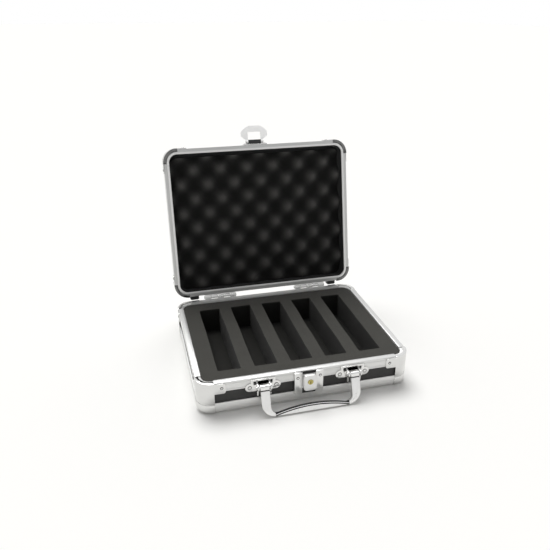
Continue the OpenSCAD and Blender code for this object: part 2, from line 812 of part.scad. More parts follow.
// Lock housing: thin back, and two cheeks with grooves for the cap's guides
module lock_housing() {
    color([0.85, 0.85, 0.85])
    difference() {
        union() {
            on_front(0, lock_back_t)
                translate([-lock_x, lock_back_low_z])
                    square([2 * lock_x, lock_top_z - lock_back_low_z]);
            for (side = [0, 1])
                mirror([side, 0, 0]) on_front(0, lock_out) cheek_outline();
        }
        for (side = [0, 1])
            mirror([side, 0, 0]) on_front(lock_back_t, groove_front_out)
                translate([lock_mouth_x - 1, lock_back_low_z - 0.2])
                    square([groove_x - lock_mouth_x + 1, base_h]);
    }
}

module cheek_outline() {
    w = lock_x - lock_mouth_x;
    h = lock_top_z - lock_low_z;
    translate([lock_mouth_x + w / 2, lock_low_z + h / 2]) {
        rounded_rect(w, h, lock_corner_r);
        translate([-w / 2, 0]) square([w, h / 2]);
    }
}

// Dark liner behind the cap, with the ledge that carries the catch spring
module lock_back_plate() {
    color([0.09, 0.09, 0.09]) {
        on_front(lock_back_t, liner_out)
            translate([-groove_x + 0.2, lock_back_low_z])
                square([2 * groove_x - 0.4, lock_top_z - lock_back_low_z - 0.2]);
        translate([-ledge_x, front_y - ledge_out, ledge_z])
            cube([2 * ledge_x, ledge_out - lock_back_t, ledge_t]);
    }
}

// Sliding cap: face with a hook above its shoulder, guides, spring pocket and key bore
module lock_cap() {
    low = catch_low_z;
    color([0.9, 0.89, 0.87])
    difference() {
        union() {
            on_front(catch_back_out, catch_out)
                translate([0, (low + catch_top_z) / 2])
                    rounded_rect(2 * catch_x, catch_top_z - low, catch_corner_r);
            on_front(catch_out - hook_t, catch_out)
                translate([0, (low + catch_top_z + hook_h) / 2])
                    rounded_rect(2 * catch_x, catch_top_z + hook_h - low, catch_corner_r);
            on_front(catch_back_out, guide_front_out)
                translate([-guide_x, low]) square([2 * guide_x, catch_top_z - low]);
        }
        translate([-pocket_x, front_y - pocket_out, low - 1])
            cube([2 * pocket_x, pocket_out, pocket_top_z - low + 1]);
        on_front(catch_out - key_l - 0.1, catch_out + 1)
            translate([0, key_z]) circle(r = key_r + running_fit);
    }
}

module key_cylinder() {
    color([0.78, 0.62, 0.28])
    difference() {
        on_front(catch_out - key_l, catch_out + key_proud)
            translate([0, key_z]) circle(r = key_r);
        on_front(catch_out + key_proud - keyhole_d, catch_out + 1)
            translate([0, key_z]) square([keyhole_w, keyhole_h], center = true);
    }
}

module catch_spring() {
    low = ledge_z + ledge_t;
    color([0.7, 0.7, 0.7])
    translate([0, front_y - spring_out, low])
        difference() {
            cylinder(r = catch_spring_r, h = pocket_top_z - low - 0.2);
            translate([0, 0, -1]) cylinder(r = catch_spring_r - spring_wire, h = base_h);
        }
}

// Closed place of the hasp's parts: children are drawn round the pin
module at_hasp_pin() {
    translate([0, hasp_y, hasp_z]) children();
}

// Loop seen from the front, hanging from the pin
module loop_outline() {
    difference() {
        intersection() {
            translate([0, -loop_middle_drop]) circle(r = loop_r);
            translate([0, loop_end_r - loop_end_drop]) circle(r = loop_end_r, $fn = 96);
            polygon([
                [-loop_waist_x, loop_knuckle_r],
                [loop_waist_x, loop_knuckle_r],
                [loop_waist_x, -loop_neck_drop],
                [loop_x, -loop_shoulder_drop],
                [loop_x, -loop_drop],
                [-loop_x, -loop_drop],
                [-loop_x, -loop_shoulder_drop],
                [-loop_waist_x, -loop_neck_drop]
            ]);
        }
        translate([-loop_arm_x, -block_h / 2 - 0.3])
            square([2 * loop_arm_x, block_h + loop_r]);
        translate([-loop_window_x, -loop_window_drop])
            square([2 * loop_window_x, loop_window_drop]);
    }
}

// Loop with its two knuckles, the end bar that the hook holds, and the rolled finger tab
module hasp_loop() {
    color([0.86, 0.86, 0.86])
    opened() hasp_out() at_hasp_pin() difference() {
        union() {
            translate([0, -loop_back, 0])
                rotate([90, 0, 0]) linear_extrude(loop_t) loop_outline();
            for (side = [0, 1])
                mirror([side, 0, 0]) translate([loop_arm_x, 0, 0])
                    rotate([0, 90, 0]) cylinder(r = loop_knuckle_r, h = loop_arm_w);
            translate([-bar_x, -bar_front, -loop_drop])
                cube([2 * bar_x, bar_front + bar_back, bar_h]);
            translate([-tab_l / 2, -loop_back - loop_t - 0.4, -tab_drop])
                rotate([0, 90, 0]) cylinder(r = tab_r, h = tab_l);
        }
        rotate([0, 90, 0])
            cylinder(r = hasp_pin_r + running_fit, h = 4 * loop_x, center = true);
    }
}

module hasp_bracket() {
    color([0.84, 0.84, 0.84])
    opened() on_front(0, hasp_plate_t)
        translate([0, hasp_plate_z]) rounded_rect(hasp_plate_w, hasp_plate_h, 2);
}

// Black block round the pin, hollow at the back for the spring
module hasp_hinge_block() {
    color([0.08, 0.08, 0.08])
    opened() at_hasp_pin() difference() {
        translate([-block_w / 2, -block_d / 2, -block_h / 2])
            cube([block_w, hasp_pin_out - hasp_plate_t + block_d / 2, block_h]);
        translate([-block_hollow_w / 2, block_front_t - block_d / 2, -block_hollow_h / 2])
            cube([block_hollow_w, block_d + 1, block_hollow_h]);
        rotate([0, 90, 0])
            cylinder(r = hasp_pin_r + tight_fit, h = 2 * block_w, center = true);
    }
}

module hasp_pin() {
    color([0.7, 0.7, 0.7])
    opened() at_hasp_pin() rotate([0, 90, 0]) {
        cylinder(r = hasp_pin_r, h = 2 * loop_waist_x + 0.4, center = true);
        for (side = [0, 1])
            mirror([0, 0, side]) translate([0, 0, loop_waist_x + 0.1])
                cylinder(r = pin_end_r, h = pin_end_t);
    }
}

module hasp_spring() {
    color([0.6, 0.6, 0.6])
    opened() at_hasp_pin() rotate([0, 90, 0]) difference() {
        cylinder(r = hasp_spring_r, h = hasp_spring_l, center = true);
        cylinder(r = hasp_pin_r + tight_fit, h = hasp_spring_l + 1, center = true);
    }
}

module hasp_rivets() {
    color([0.8, 0.8, 0.8])
    opened() for (side = [-1, 1])
        front_rivet(side * hasp_rivet_x, hasp_plate_z, hasp_plate_t, rivet_r);
}

module base_rim() {
    low_z = slot_top_z - slot_h;
    color([0.8, 0.8, 0.79])
    difference() {
        rim(base_h, base_rim_h, 0);
        four_corners() quarter_sweep(cap_reach, cap_reach)
            translate([-1, base_h - recess_d]) square([recess_w + 1, recess_d + 1]);
        for (side = [-1, 1])
            on_front(-skin_t - 0.05, 1)
                translate([side * leg_x - slot_x, low_z]) square([2 * slot_x, slot_h]);
    }
}

module base_edge_frame() {
    color([0.78, 0.78, 0.76]) edge_frame(base_edge_h);
}

module base_front_panel() {
    color([0.1, 0.1, 0.1]) long_panel(-1, base_h);
}

module base_rear_panel() {
    color([0.1, 0.1, 0.1]) long_panel(1, base_h);
}

module base_left_panel() {
    color([0.1, 0.1, 0.1]) left() short_panel(base_h);
}

module base_right_panel() {
    color([0.1, 0.1, 0.1]) short_panel(base_h);
}

module base_floor_panel() {
    color([0.1, 0.1, 0.1]) floor_panel();
}

module base_corner_posts() {
    color([0.15, 0.15, 0.15]) corner_posts(base_h);
}

module base_cap_front_left() {
    color([0.88, 0.88, 0.87]) left() corner_cap(base_h, base_edge_h, true);
}

module base_cap_front_right() {
    color([0.88, 0.88, 0.87]) corner_cap(base_h, base_edge_h, true);
}

module base_cap_rear_left() {
    color([0.88, 0.88, 0.87]) left() corner_cap(base_h, base_edge_h, false);
}

module base_cap_rear_right() {
    color([0.88, 0.88, 0.87]) corner_cap(base_h, base_edge_h, false);
}

module base_cap_rivets() {
    color([0.8, 0.8, 0.8]) cap_rivets(base_h);
}

module slotted_foam() {
    low = floor_top_z + pad_t;
    color([0.28, 0.28, 0.26])
    translate([0, 0, low]) linear_extrude(base_h - foam_drop - low) difference() {
        rounded_rect(inner_w - 2 * foam_gap, inner_d - 2 * foam_gap, inner_r - foam_gap);
        for (i = [0 : slot_n - 1])
            translate([(i - (slot_n - 1) / 2) * slot_pitch, 0])
                square([slot_w, slot_l], center = true);
    }
}

module foam_base_pad() {
    color([0.1, 0.1, 0.1])
    translate([0, 0, floor_top_z]) linear_extrude(pad_t)
        rounded_rect(inner_w - 2 * foam_gap, inner_d - 2 * foam_gap, inner_r - foam_gap);
}

module base_rear_foot_left() {
    color([0.06, 0.06, 0.06]) left() rear_foot(axis_z - foot_edge, -1);
}

module base_rear_foot_right() {
    color([0.06, 0.06, 0.06]) rear_foot(axis_z - foot_edge, -1);
}

module hinge_base_leaf_left() {
    color([0.82, 0.82, 0.82]) left() hinge_leaf([0, 2, 4], -1, tight_fit);
}

module hinge_base_leaf_right() {
    color([0.82, 0.82, 0.82]) hinge_leaf([0, 2, 4], -1, tight_fit);
}

module hinge_pin_left() {
    color([0.7, 0.7, 0.7]) left() hinge_pin();
}

module hinge_pin_right() {
    color([0.7, 0.7, 0.7]) hinge_pin();
}

module hinge_base_rivets() {
    color([0.8, 0.8, 0.8]) hinge_rivets(axis_z - leaf_low - leaf_h / 2 - 0.6);
}

module handle_bracket_left() {
    color([0.84, 0.84, 0.84]) left() handle_bracket();
}

module handle_bracket_right() {
    color([0.84, 0.84, 0.84]) handle_bracket();
}

module handle_pin_left() {
    color([0.7, 0.7, 0.7]) left() handle_pin();
}

module handle_pin_right() {
    color([0.7, 0.7, 0.7]) handle_pin();
}

module handle_bracket_rivets() {
    color([0.8, 0.8, 0.8])
    for (side = [-1, 1], lobe = [-1, 1])
        front_rivet(side * leg_x + lobe * lobe_x, lobe_z, bracket_t, handle_rivet_r);
}

module lock_rivets() {
    color([0.8, 0.8, 0.8])
    for (side = [-1, 1])
        front_rivet(side * lock_rivet_x, lock_rivet_z, lock_out, rivet_r);
}

module lid_rim() {
    color([0.72, 0.72, 0.72]) opened() as_lid() rim(lid_h, lid_rim_h, lip_h);
}

module lid_edge_frame() {
    color([0.78, 0.78, 0.76]) opened() as_lid() edge_frame(lid_edge_h);
}

module lid_front_panel() {
    color([0.1, 0.1, 0.1]) opened() as_lid() long_panel(-1, lid_h);
}

module lid_rear_panel() {
    color([0.1, 0.1, 0.1]) opened() as_lid() long_panel(1, lid_h);
}

module lid_left_panel() {
    color([0.1, 0.1, 0.1]) opened() as_lid() left() short_panel(lid_h);
}

module lid_right_panel() {
    color([0.1, 0.1, 0.1]) opened() as_lid() short_panel(lid_h);
}

module lid_top_panel() {
    color([0.1, 0.1, 0.1]) opened() as_lid() floor_panel();
}

module lid_corner_posts() {
    color([0.15, 0.15, 0.15]) opened() as_lid() corner_posts(lid_h);
}

module lid_cap_front_left() {
    color([0.88, 0.88, 0.87]) opened() as_lid() left() corner_cap(lid_h, lid_edge_h, true);
}

module lid_cap_front_right() {
    color([0.88, 0.88, 0.87]) opened() as_lid() corner_cap(lid_h, lid_edge_h, true);
}

module lid_cap_rear_left() {
    color([0.88, 0.88, 0.87]) opened() as_lid() left() corner_cap(lid_h, lid_edge_h, false);
}

module lid_cap_rear_right() {
    color([0.88, 0.88, 0.87]) opened() as_lid() corner_cap(lid_h, lid_edge_h, false);
}

module lid_cap_rivets() {
    color([0.8, 0.8, 0.8]) opened() as_lid() cap_rivets(lid_h);
}

// Lining round the inside of the lid's walls
module lid_lining() {
    color([0.08, 0.08, 0.08])
    opened() as_lid() translate([0, 0, floor_top_z])
        linear_extrude(lid_h - lining_drop - floor_top_z) difference() {
            rounded_rect(inner_w, inner_d, inner_r);
            rounded_rect(inner_w - 2 * lining_t, inner_d - 2 * lining_t, inner_r - lining_t);
        }
}

// Egg-crate foam: height of its surface, and half the width of a row at the rounded corners
function crate_z(x, y) =
    (crate_high + crate_low) / 2
    + (crate_high - crate_low) / 2
    * cos(360 * (x - peak_shift_x) / peak_pitch_x) * cos(360 * (y - peak_shift_y) / peak_pitch_y);
function crate_row_y(j) = crate_y * (2 * j / crate_ny - 1);
function crate_row_x(j) =
    let (past = max(0, abs(crate_row_y(j)) - (crate_y - crate_r)))
    crate_x - crate_r + sqrt(max(0, crate_r * crate_r - past * past));
function crate_xy(cell) = [crate_row_x(cell[1]) * (2 * cell[0] / crate_nx - 1), crate_row_y(cell[1])];
function crate_top(cell) = let (p = crate_xy(cell)) [p[0], p[1], crate_z(p[0], p[1])];
function crate_index(i, j) = j * (crate_nx + 1) + i;

module egg_crate_foam() {
    // The outline's cells in order; the back is a fan of triangles round its middle
    edge = concat(
        [for (i = [0 : crate_nx]) [i, 0]],
        [for (j = [1 : crate_ny]) [crate_nx, j]],
        [for (i = [crate_nx - 1 : -1 : 0]) [i, crate_ny]],
        [for (j = [crate_ny - 1 : -1 : 1]) [0, j]]
    );
    edge_n = len(edge);
    first = (crate_nx + 1) * (crate_ny + 1);
    tops = [for (j = [0 : crate_ny], i = [0 : crate_nx]) crate_top([i, j])];
    lows = [for (cell = edge) concat(crate_xy(cell), [floor_top_z + glue_gap])];
    near = [for (j = [0 : crate_ny - 1], i = [0 : crate_nx - 1])
        [crate_index(i, j), crate_index(i, j + 1), crate_index(i + 1, j)]];
    far = [for (j = [0 : crate_ny - 1], i = [0 : crate_nx - 1])
        [crate_index(i + 1, j), crate_index(i, j + 1), crate_index(i + 1, j + 1)]];
    sides = [for (k = [0 : edge_n - 1]) let (n = (k + 1) % edge_n)
        [crate_index(edge[k][0], edge[k][1]), crate_index(edge[n][0], edge[n][1]), first + n, first + k]];
    glued = [for (k = [0 : edge_n - 1]) [first + k, first + (k + 1) % edge_n, first + edge_n]];
    color([0.13, 0.13, 0.13])
    opened() as_lid() polyhedron(
        points = concat(tops, lows, [[0, 0, floor_top_z + glue_gap]]),
        faces = concat(near, far, sides, glued)
    );
}

module lid_rear_foot_left() {
    color([0.06, 0.06, 0.06]) opened() left() rear_foot(axis_z + foot_edge, 1);
}

module lid_rear_foot_right() {
    color([0.06, 0.06, 0.06]) opened() rear_foot(axis_z + foot_edge, 1);
}

module hinge_lid_leaf_left() {
    color([0.82, 0.82, 0.82]) opened() left() hinge_leaf([1, 3], 1, running_fit);
}

module hinge_lid_leaf_right() {
    color([0.82, 0.82, 0.82]) opened() hinge_leaf([1, 3], 1, running_fit);
}

module hinge_lid_rivets() {
    color([0.8, 0.8, 0.8]) opened() hinge_rivets(axis_z + leaf_h / 2 + 2.5);
}

base_rim();
base_edge_frame();
base_front_panel();
base_rear_panel();
base_left_panel();
base_right_panel();
base_floor_panel();
base_corner_posts();
base_cap_front_left();
base_cap_front_right();
base_cap_rear_left();
base_cap_rear_right();
base_cap_rivets();
slotted_foam();
foam_base_pad();
base_rear_foot_left();
base_rear_foot_right();
hinge_base_leaf_left();
hinge_base_leaf_right();
hinge_pin_left();
hinge_pin_right();
hinge_base_rivets();
handle_bracket_left();
handle_bracket_right();
handle_pin_left();
handle_pin_right();
handle_bracket_rivets();
handle();
lock_housing();
lock_back_plate();
lock_rivets();
lock_cap();
key_cylinder();
catch_spring();
lid_rim();
lid_edge_frame();
lid_front_panel();
lid_rear_panel();
lid_left_panel();
lid_right_panel();
lid_top_panel();
lid_corner_posts();
lid_cap_front_left();
lid_cap_front_right();
lid_cap_rear_left();
lid_cap_rear_right();
lid_cap_rivets();
lid_lining();
egg_crate_foam();
lid_rear_foot_left();
lid_rear_foot_right();
hinge_lid_leaf_left();
hinge_lid_leaf_right();
hinge_lid_rivets();
hasp_bracket();
hasp_hinge_block();
hasp_rivets();
hasp_loop();
hasp_pin();
hasp_spring();
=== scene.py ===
"""Dresses the battery case for its picture: foams, springs, rounded metal, finishes, studio and camera."""

import json
from math import cos, pi, radians, sqrt

import bmesh
import bpy
from mathutils import Matrix, Vector, noise


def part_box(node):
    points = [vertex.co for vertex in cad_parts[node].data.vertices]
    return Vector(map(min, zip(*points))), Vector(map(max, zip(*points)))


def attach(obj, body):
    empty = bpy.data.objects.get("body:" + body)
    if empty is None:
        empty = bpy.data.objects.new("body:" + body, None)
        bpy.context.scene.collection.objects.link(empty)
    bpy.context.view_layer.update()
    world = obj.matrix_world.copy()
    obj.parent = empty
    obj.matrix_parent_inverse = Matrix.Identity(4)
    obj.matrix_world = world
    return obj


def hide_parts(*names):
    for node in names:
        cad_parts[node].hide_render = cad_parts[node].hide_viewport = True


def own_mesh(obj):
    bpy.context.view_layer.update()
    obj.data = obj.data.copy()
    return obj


bl_info = {
    "name": "Battery case",
    "version": (1, 0, 0),
    "blender": (4, 5, 0),
    "location": "3D View > Sidebar > Case",
    "description": "Builds the foams, metalwork, finishes and studio of a small hinged battery case",
    "category": "Object",
}

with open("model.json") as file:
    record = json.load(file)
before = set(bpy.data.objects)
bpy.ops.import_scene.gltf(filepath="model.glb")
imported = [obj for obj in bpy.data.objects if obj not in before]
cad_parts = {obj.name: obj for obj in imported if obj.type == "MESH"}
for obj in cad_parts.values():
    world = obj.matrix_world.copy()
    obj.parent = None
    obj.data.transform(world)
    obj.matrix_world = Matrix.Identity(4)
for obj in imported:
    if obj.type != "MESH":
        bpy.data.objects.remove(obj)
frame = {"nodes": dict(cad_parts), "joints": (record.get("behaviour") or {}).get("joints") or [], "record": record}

MM = 0.001
BODY_OF = {node: body for body, nodes in frame["record"]["behaviour"]["bodies"].items() for node in nodes}
JOINTS = {joint["name"]: joint for joint in frame["joints"]}

# How the lid turns from shut to open, and back
HINGE_POINT = Matrix.Translation(Vector(JOINTS["lid_hinge"]["pos_m"]))
LID_TURN = Matrix.Rotation(-radians(JOINTS["lid_hinge"]["range_deg"][1]), 4, "X")
LID_OPENED = HINGE_POINT @ LID_TURN @ HINGE_POINT.inverted()
LID_SHUT = LID_OPENED.inverted()

# Middles of the round corners, the outside of the lid's inner band there, and heights on the shut case
CORNER_X = 100.0 * MM
CORNER_Y = 76.2 * MM
INNER_BAND_RADIUS = 12.45 * MM
LID_BAND_TOP = 45.0 * MM
LID_TOP = 64.8 * MM

# Battery slots, and the corner radius of the foams in the base
SLOT_PITCH = 39.4 * MM
SLOT_WIDTH = 24.5 * MM
SLOT_LENGTH = 136.0 * MM
SLOT_MIDDLES = [step * SLOT_PITCH for step in (-2, -1, 0, 1, 2)]
FOAM_CORNER = 9.7 * MM

# Handle, turned to hang straight down: heights from its pins, radii from the middle of the grip's arch
HANDLE_TILT = radians(20.65)
HANDLE_PIVOT = Vector(JOINTS["handle_swing"]["pos_m"])
GRIP_TOP = -20.0 * MM
GRIP_HALF = 40.0 * MM
GRIP_ARCH_DROP = 179.7 * MM
GRIP_ARCH_RADIUS = 156.0 * MM
GRIP_GROOVE_RADIUS = 154.15 * MM
LEG_GROOVE_DROP = 3.35 * MM

# Level above which a bracket is the bar over its window, and how far that bar stands out of the wall
BRACKET_BAR_LOW = 34.5 * MM
BRACKET_BAR_OUT = 1.35 * MM

# Wire of the springs, and the dark colour painted as shade into the handle's grooves and round rivet edges, and as
# dark reflection on the lid caps' rims and the grip's inner edge
SPRING_WIRE = 0.6 * MM
PAINTED_DARK = (0.03, 0.03, 0.03, 1.0)


# Work on meshes


def clear_selection():
    """Leave edit mode and deselect everything."""
    if bpy.context.object and bpy.context.object.mode != "OBJECT":
        bpy.ops.object.mode_set(mode="OBJECT")
    bpy.ops.object.select_all(action="DESELECT")


def take(piece):
    """Make one piece the only selected and active one."""
    clear_selection()
    bpy.context.view_layer.objects.active = piece
    piece.select_set(True)


def edit(piece):
    """Open a piece in edit mode with nothing selected."""
    take(piece)
    bpy.ops.object.mode_set(mode="EDIT")
    bpy.ops.mesh.select_mode(type="EDGE")
    bpy.ops.mesh.select_all(action="DESELECT")
    return bmesh.from_edit_mesh(piece.data)


def done(piece):
    """Close edit mode."""
    bmesh.update_edit_mesh(piece.data)
    bpy.ops.object.mode_set(mode="OBJECT")
    return piece


def settle(piece, matrix=None):
    """Put a piece's place and turn into its mesh, so that its object sits at the origin."""
    take(piece)
    if matrix is not None:
        piece.matrix_world = matrix @ piece.matrix_world
    bpy.ops.object.transform_apply(location=True, rotation=True, scale=True)
    return piece


def part_copy(node, name):
    """Copy a CAD part into a new piece, with its loose triangles joined into whole faces."""
    piece = bpy.data.objects.new(name, frame["nodes"][node].data.copy())
    bpy.context.scene.collection.objects.link(piece)
    take(piece)
    bpy.ops.mesh.customdata_custom_splitnormals_clear()
    edit(piece)
    bpy.ops.mesh.select_all(action="SELECT")
    bpy.ops.mesh.remove_doubles(threshold=0.002 * MM)
    bpy.ops.mesh.dissolve_limited(angle_limit=radians(0.6))
    return done(piece)


def round_edges(piece, radius, segments, corner=35, where=None):
    """Round the edges of a piece that are sharper than a corner angle and lie where a test says."""
    mesh = edit(piece)
    for line in mesh.edges:
        middle = (line.verts[0].co + line.verts[1].co) / 2
        sharp = line.calc_face_angle(0.0) > radians(corner)
        if sharp and (where is None or where(middle)):
            line.select_set(True)
    bpy.ops.mesh.bevel(offset=radius, offset_type="OFFSET", segments=segments, clamp_overlap=True)
    done(piece)
    smooth(piece)


def smooth(piece, corner=32):
    """Shade a piece smooth except across its corners."""
    take(piece)
    bpy.ops.object.shade_smooth_by_angle(angle=radians(corner))
    return piece


def face_out(piece):
    """Turn all faces of a closed piece outwards."""
    edit(piece)
    bpy.ops.mesh.select_all(action="SELECT")
    bpy.ops.mesh.normals_make_consistent(inside=False)
    done(piece)


def dress(piece, node, finish):
    """Let a piece stand for a CAD part: it moves with the part's body and takes its finish."""
    piece.data.materials.clear()
    piece.data.materials.append(finish)
    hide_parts(node)
    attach(piece, BODY_OF[node])


def give_finish(node, finish):
    """Put a finish on a CAD part that stays as it is."""
    part = frame["nodes"][node]
    for place in part.material_slots:
        place.material = finish


# Finishes


class Signal:
    """A node's output; arithmetic on it adds Math nodes."""

    def __init__(self, finish, socket):
        self.finish = finish
        self.socket = socket

    def maths(self, operation, first, second=0.0, clamp=False):
        settings = {"operation": operation, "use_clamp": clamp}
        return self.finish.node("ShaderNodeMath", settings, {0: first, 1: second})

    def __add__(self, other):
        return self.maths("ADD", self, other)

    def __radd__(self, other):
        return self.maths("ADD", other, self)

    def __sub__(self, other):
        return self.maths("SUBTRACT", self, other)

    def __rsub__(self, other):
        return self.maths("SUBTRACT", other, self)

    def __mul__(self, other):
        return self.maths("MULTIPLY", self, other)

    def __pow__(self, other):
        return self.maths("POWER", self, other)

    def above(self, level):
        return self.maths("GREATER_THAN", self, level)

    def below(self, level):
        return self.maths("LESS_THAN", self, level)

    def larger(self, other):
        return self.maths("MAXIMUM", self, other)

    def size(self):
        return self.maths("ABSOLUTE", self)

    def clamped(self):
        return self.maths("ADD", self, 0.0, clamp=True)

    def ramp(self, low, high):
        """0 up to one value and 1 from another on, with an even change between them"""
        return ((self - low) * (1.0 / (high - low))).clamped()


class Finish:
    """A material or a world being built from nodes."""

    def __init__(self, name, owner=None):
        self.owner = owner or bpy.data.materials.new(name)
        self.owner.use_nodes = True
        self.tree = self.owner.node_tree
        self.tree.nodes.clear()

    def node(self, kind, settings=None, sockets=None, output=0):
        """Add a node: its settings first, then the values or links of its sockets."""
        made = self.tree.nodes.new(kind)
        for key, value in (settings or {}).items():
            setattr(made, key, value)
        for key, value in (sockets or {}).items():
            if isinstance(value, Signal):
                self.tree.links.new(value.socket, made.inputs[key])
            else:
                made.inputs[key].default_value = value
        return Signal(self, made.outputs[output])

    def place(self, on_lid=False):
        """Object coordinates; those of the lid are turned to how it lies when it is shut."""
        spot = self.node("ShaderNodeTexCoord", output="Object")
        if not on_lid:
            return spot
        sockets = {"Vector": spot, "Location": LID_SHUT.translation, "Rotation": LID_SHUT.to_euler()}
        return self.node("ShaderNodeMapping", {"vector_type": "POINT"}, sockets)

    def axes(self, spot):
        """The three coordinates of a place."""
        split = self.tree.nodes.new("ShaderNodeSeparateXYZ")
        self.tree.links.new(spot.socket, split.inputs[0])
        return [Signal(self, output) for output in split.outputs]

    def join(self, x, y, z):
        return self.node("ShaderNodeCombineXYZ", None, {0: x, 1: y, 2: z})

    def clouds(self, spot, scale, detail, roughness=0.5):
        sockets = {"Vector": spot, "Scale": scale, "Detail": detail, "Roughness": roughness}
        return self.node("ShaderNodeTexNoise", None, sockets)

    def cells(self, spot, scale, feature="F1"):
        return self.node("ShaderNodeTexVoronoi", {"feature": feature}, {"Vector": spot, "Scale": scale})

    def blend(self, share, first, second):
        """Mix two colours."""
        settings = {"data_type": "RGBA", "blend_type": "MIX", "clamp_factor": True}
        return self.node("ShaderNodeMix", settings, {0: share, 6: first, 7: second}, output=2)

    def bump(self, height, depth, strength, over=None):
        sockets = {"Height": height, "Distance": depth, "Strength": strength}
        if over is not None:
            sockets["Normal"] = over
        return self.node("ShaderNodeBump", None, sockets)

    def close(self, shader, kind="ShaderNodeOutputMaterial"):
        """Lead a shader to the output."""
        output = self.tree.nodes.new(kind)
        self.tree.links.new(shader.socket, output.inputs["Surface"])
        return self.owner

    def finished(self, sockets):
        """Close a material with one surface shader."""
        return self.close(self.node("ShaderNodeBsdfPrincipled", None, sockets))


def tint(colour, share):
    """A colour made darker or lighter, with its alpha."""
    return tuple(min(1.0, part * share) for part in colour[:3]) + (1.0,)


def drawn_aluminium(name, colour, top, on_lid=False):
    """Anodised extrusion: drawn lines, clouds and scratches, with painted shade on the top faces and on the lid's
    outer band.
    """
    finish = Finish(name)
    spot = finish.place(on_lid)
    x, y, z = finish.axes(spot)
    wall_lines = finish.clouds(finish.join(x * 9.0, y * 9.0, z * 2600.0), 1.0, 2.0)
    side_bar = x.size().above(CORNER_X)
    across = side_bar * x + (1.0 - side_bar) * y
    along = side_bar * y + (1.0 - side_bar) * x
    top_lines = finish.clouds(finish.join(along * 9.0, across * 2600.0, 0.0), 1.0, 2.0)
    lines = wall_lines * 0.5 + top_lines * 0.5
    cloud = finish.clouds(spot, 26.0, 4.0)
    scratch_cells = finish.cells(finish.join(x * 60.0, y * 90.0, z * 260.0), 1.0, "DISTANCE_TO_EDGE")
    scratch = (scratch_cells * 14.0).clamped()
    shade = (cloud * 0.55 + lines * 0.45).clamped()
    metal = finish.blend(shade, tint(colour, 0.93), tint(colour, 1.05))
    # Painted shade: the top faces are darkened to 0.74 of the colour
    top_painted_shade = z.above(top - 0.45 * MM)
    metal = finish.blend(top_painted_shade, metal, tint(colour, 0.74))
    if on_lid:
        # Painted shade: on the lid, the band outside the inner band and below its top is darkened to 0.72 of the
        # colour
        past_x = (x.size() - CORNER_X).larger(0.0)
        past_y = (y.size() - CORNER_Y).larger(0.0)
        outside = (past_x * past_x + past_y * past_y).above(INNER_BAND_RADIUS**2)
        outer_band_painted_shade = outside * z.below(LID_BAND_TOP)
        metal = finish.blend(outer_band_painted_shade, metal, tint(colour, 0.72))
    return finish.finished({
        "Base Color": metal,
        "Metallic": 0.75,
        "Roughness": 0.36 + lines * 0.14 + cloud * 0.08 - scratch * 0.03,
        "Normal": finish.bump(lines + scratch * 0.2, 0.02 * MM, 0.7),
    })


def handle_painted_shade(finish):
    """Painted shade and dark reflection: 1 in the two cross grooves and in the grip's groove, where shade is
    painted, and on the grip's inner edge, where a dark reflection is painted
    """
    sockets = {0: finish.place(), 1: HANDLE_PIVOT}
    from_pivot = finish.node("ShaderNodeVectorMath", {"operation": "SUBTRACT"}, sockets)
    turn = {"Vector": from_pivot, "Rotation": (HANDLE_TILT, 0.0, 0.0)}
    x, y, z = finish.axes(finish.node("ShaderNodeMapping", {"vector_type": "POINT"}, turn))
    low = z + GRIP_ARCH_DROP
    radius = finish.node("ShaderNodeMath", {"operation": "SQRT"}, {0: x * x + low * low})
    inner_edge = radius.above(GRIP_ARCH_RADIUS - 0.6 * MM) * z.below(GRIP_TOP)
    grip_groove = (radius - GRIP_GROOVE_RADIUS).size().below(0.62 * MM)
    along_grip = (grip_groove + inner_edge) * x.size().below(GRIP_HALF)
    across_leg = (z + LEG_GROOVE_DROP).size().below(0.6 * MM)
    return (along_grip + across_leg).clamped() * y.below(1.5 * MM)


def note_flatness(piece):
    """Store on a piece how squarely each corner of its faces looks along an axis, up to 1."""
    flatness = piece.data.attributes.new("flatness", "FLOAT", "CORNER")
    for normal, stored in zip(piece.data.corner_normals, flatness.data):
        stored.value = max(abs(part) for part in normal.vector)


def rivet_edge(finish):
    """Painted shade: 0.8 on the steep edge of a rivet head, 0 in its flat dimple"""
    settings = {"attribute_type": "GEOMETRY", "attribute_name": "flatness"}
    return 0.8 - finish.node("ShaderNodeAttribute", settings, output="Fac").ramp(0.86, 0.96) * 0.8


def shut_height(node, pick):
    """The lowest (min) or highest (max) level of a lid part when the lid is shut."""
    return pick((LID_SHUT @ point.co).z for point in frame["nodes"][node].data.vertices)


def lid_cap_rim_painted_reflection(finish):
    """Painted dark reflection: 0.8 on the rim of the lid's corner caps where it bends round the corner"""
    x, y, z = finish.axes(finish.place(on_lid=True))
    low = shut_height("lid_cap_front_left", min)
    round_corner = x.size().above(CORNER_X - 2 * MM) * y.size().above(CORNER_Y - 2 * MM)
    return z.below(low + 0.7 * MM) * round_corner * 0.8


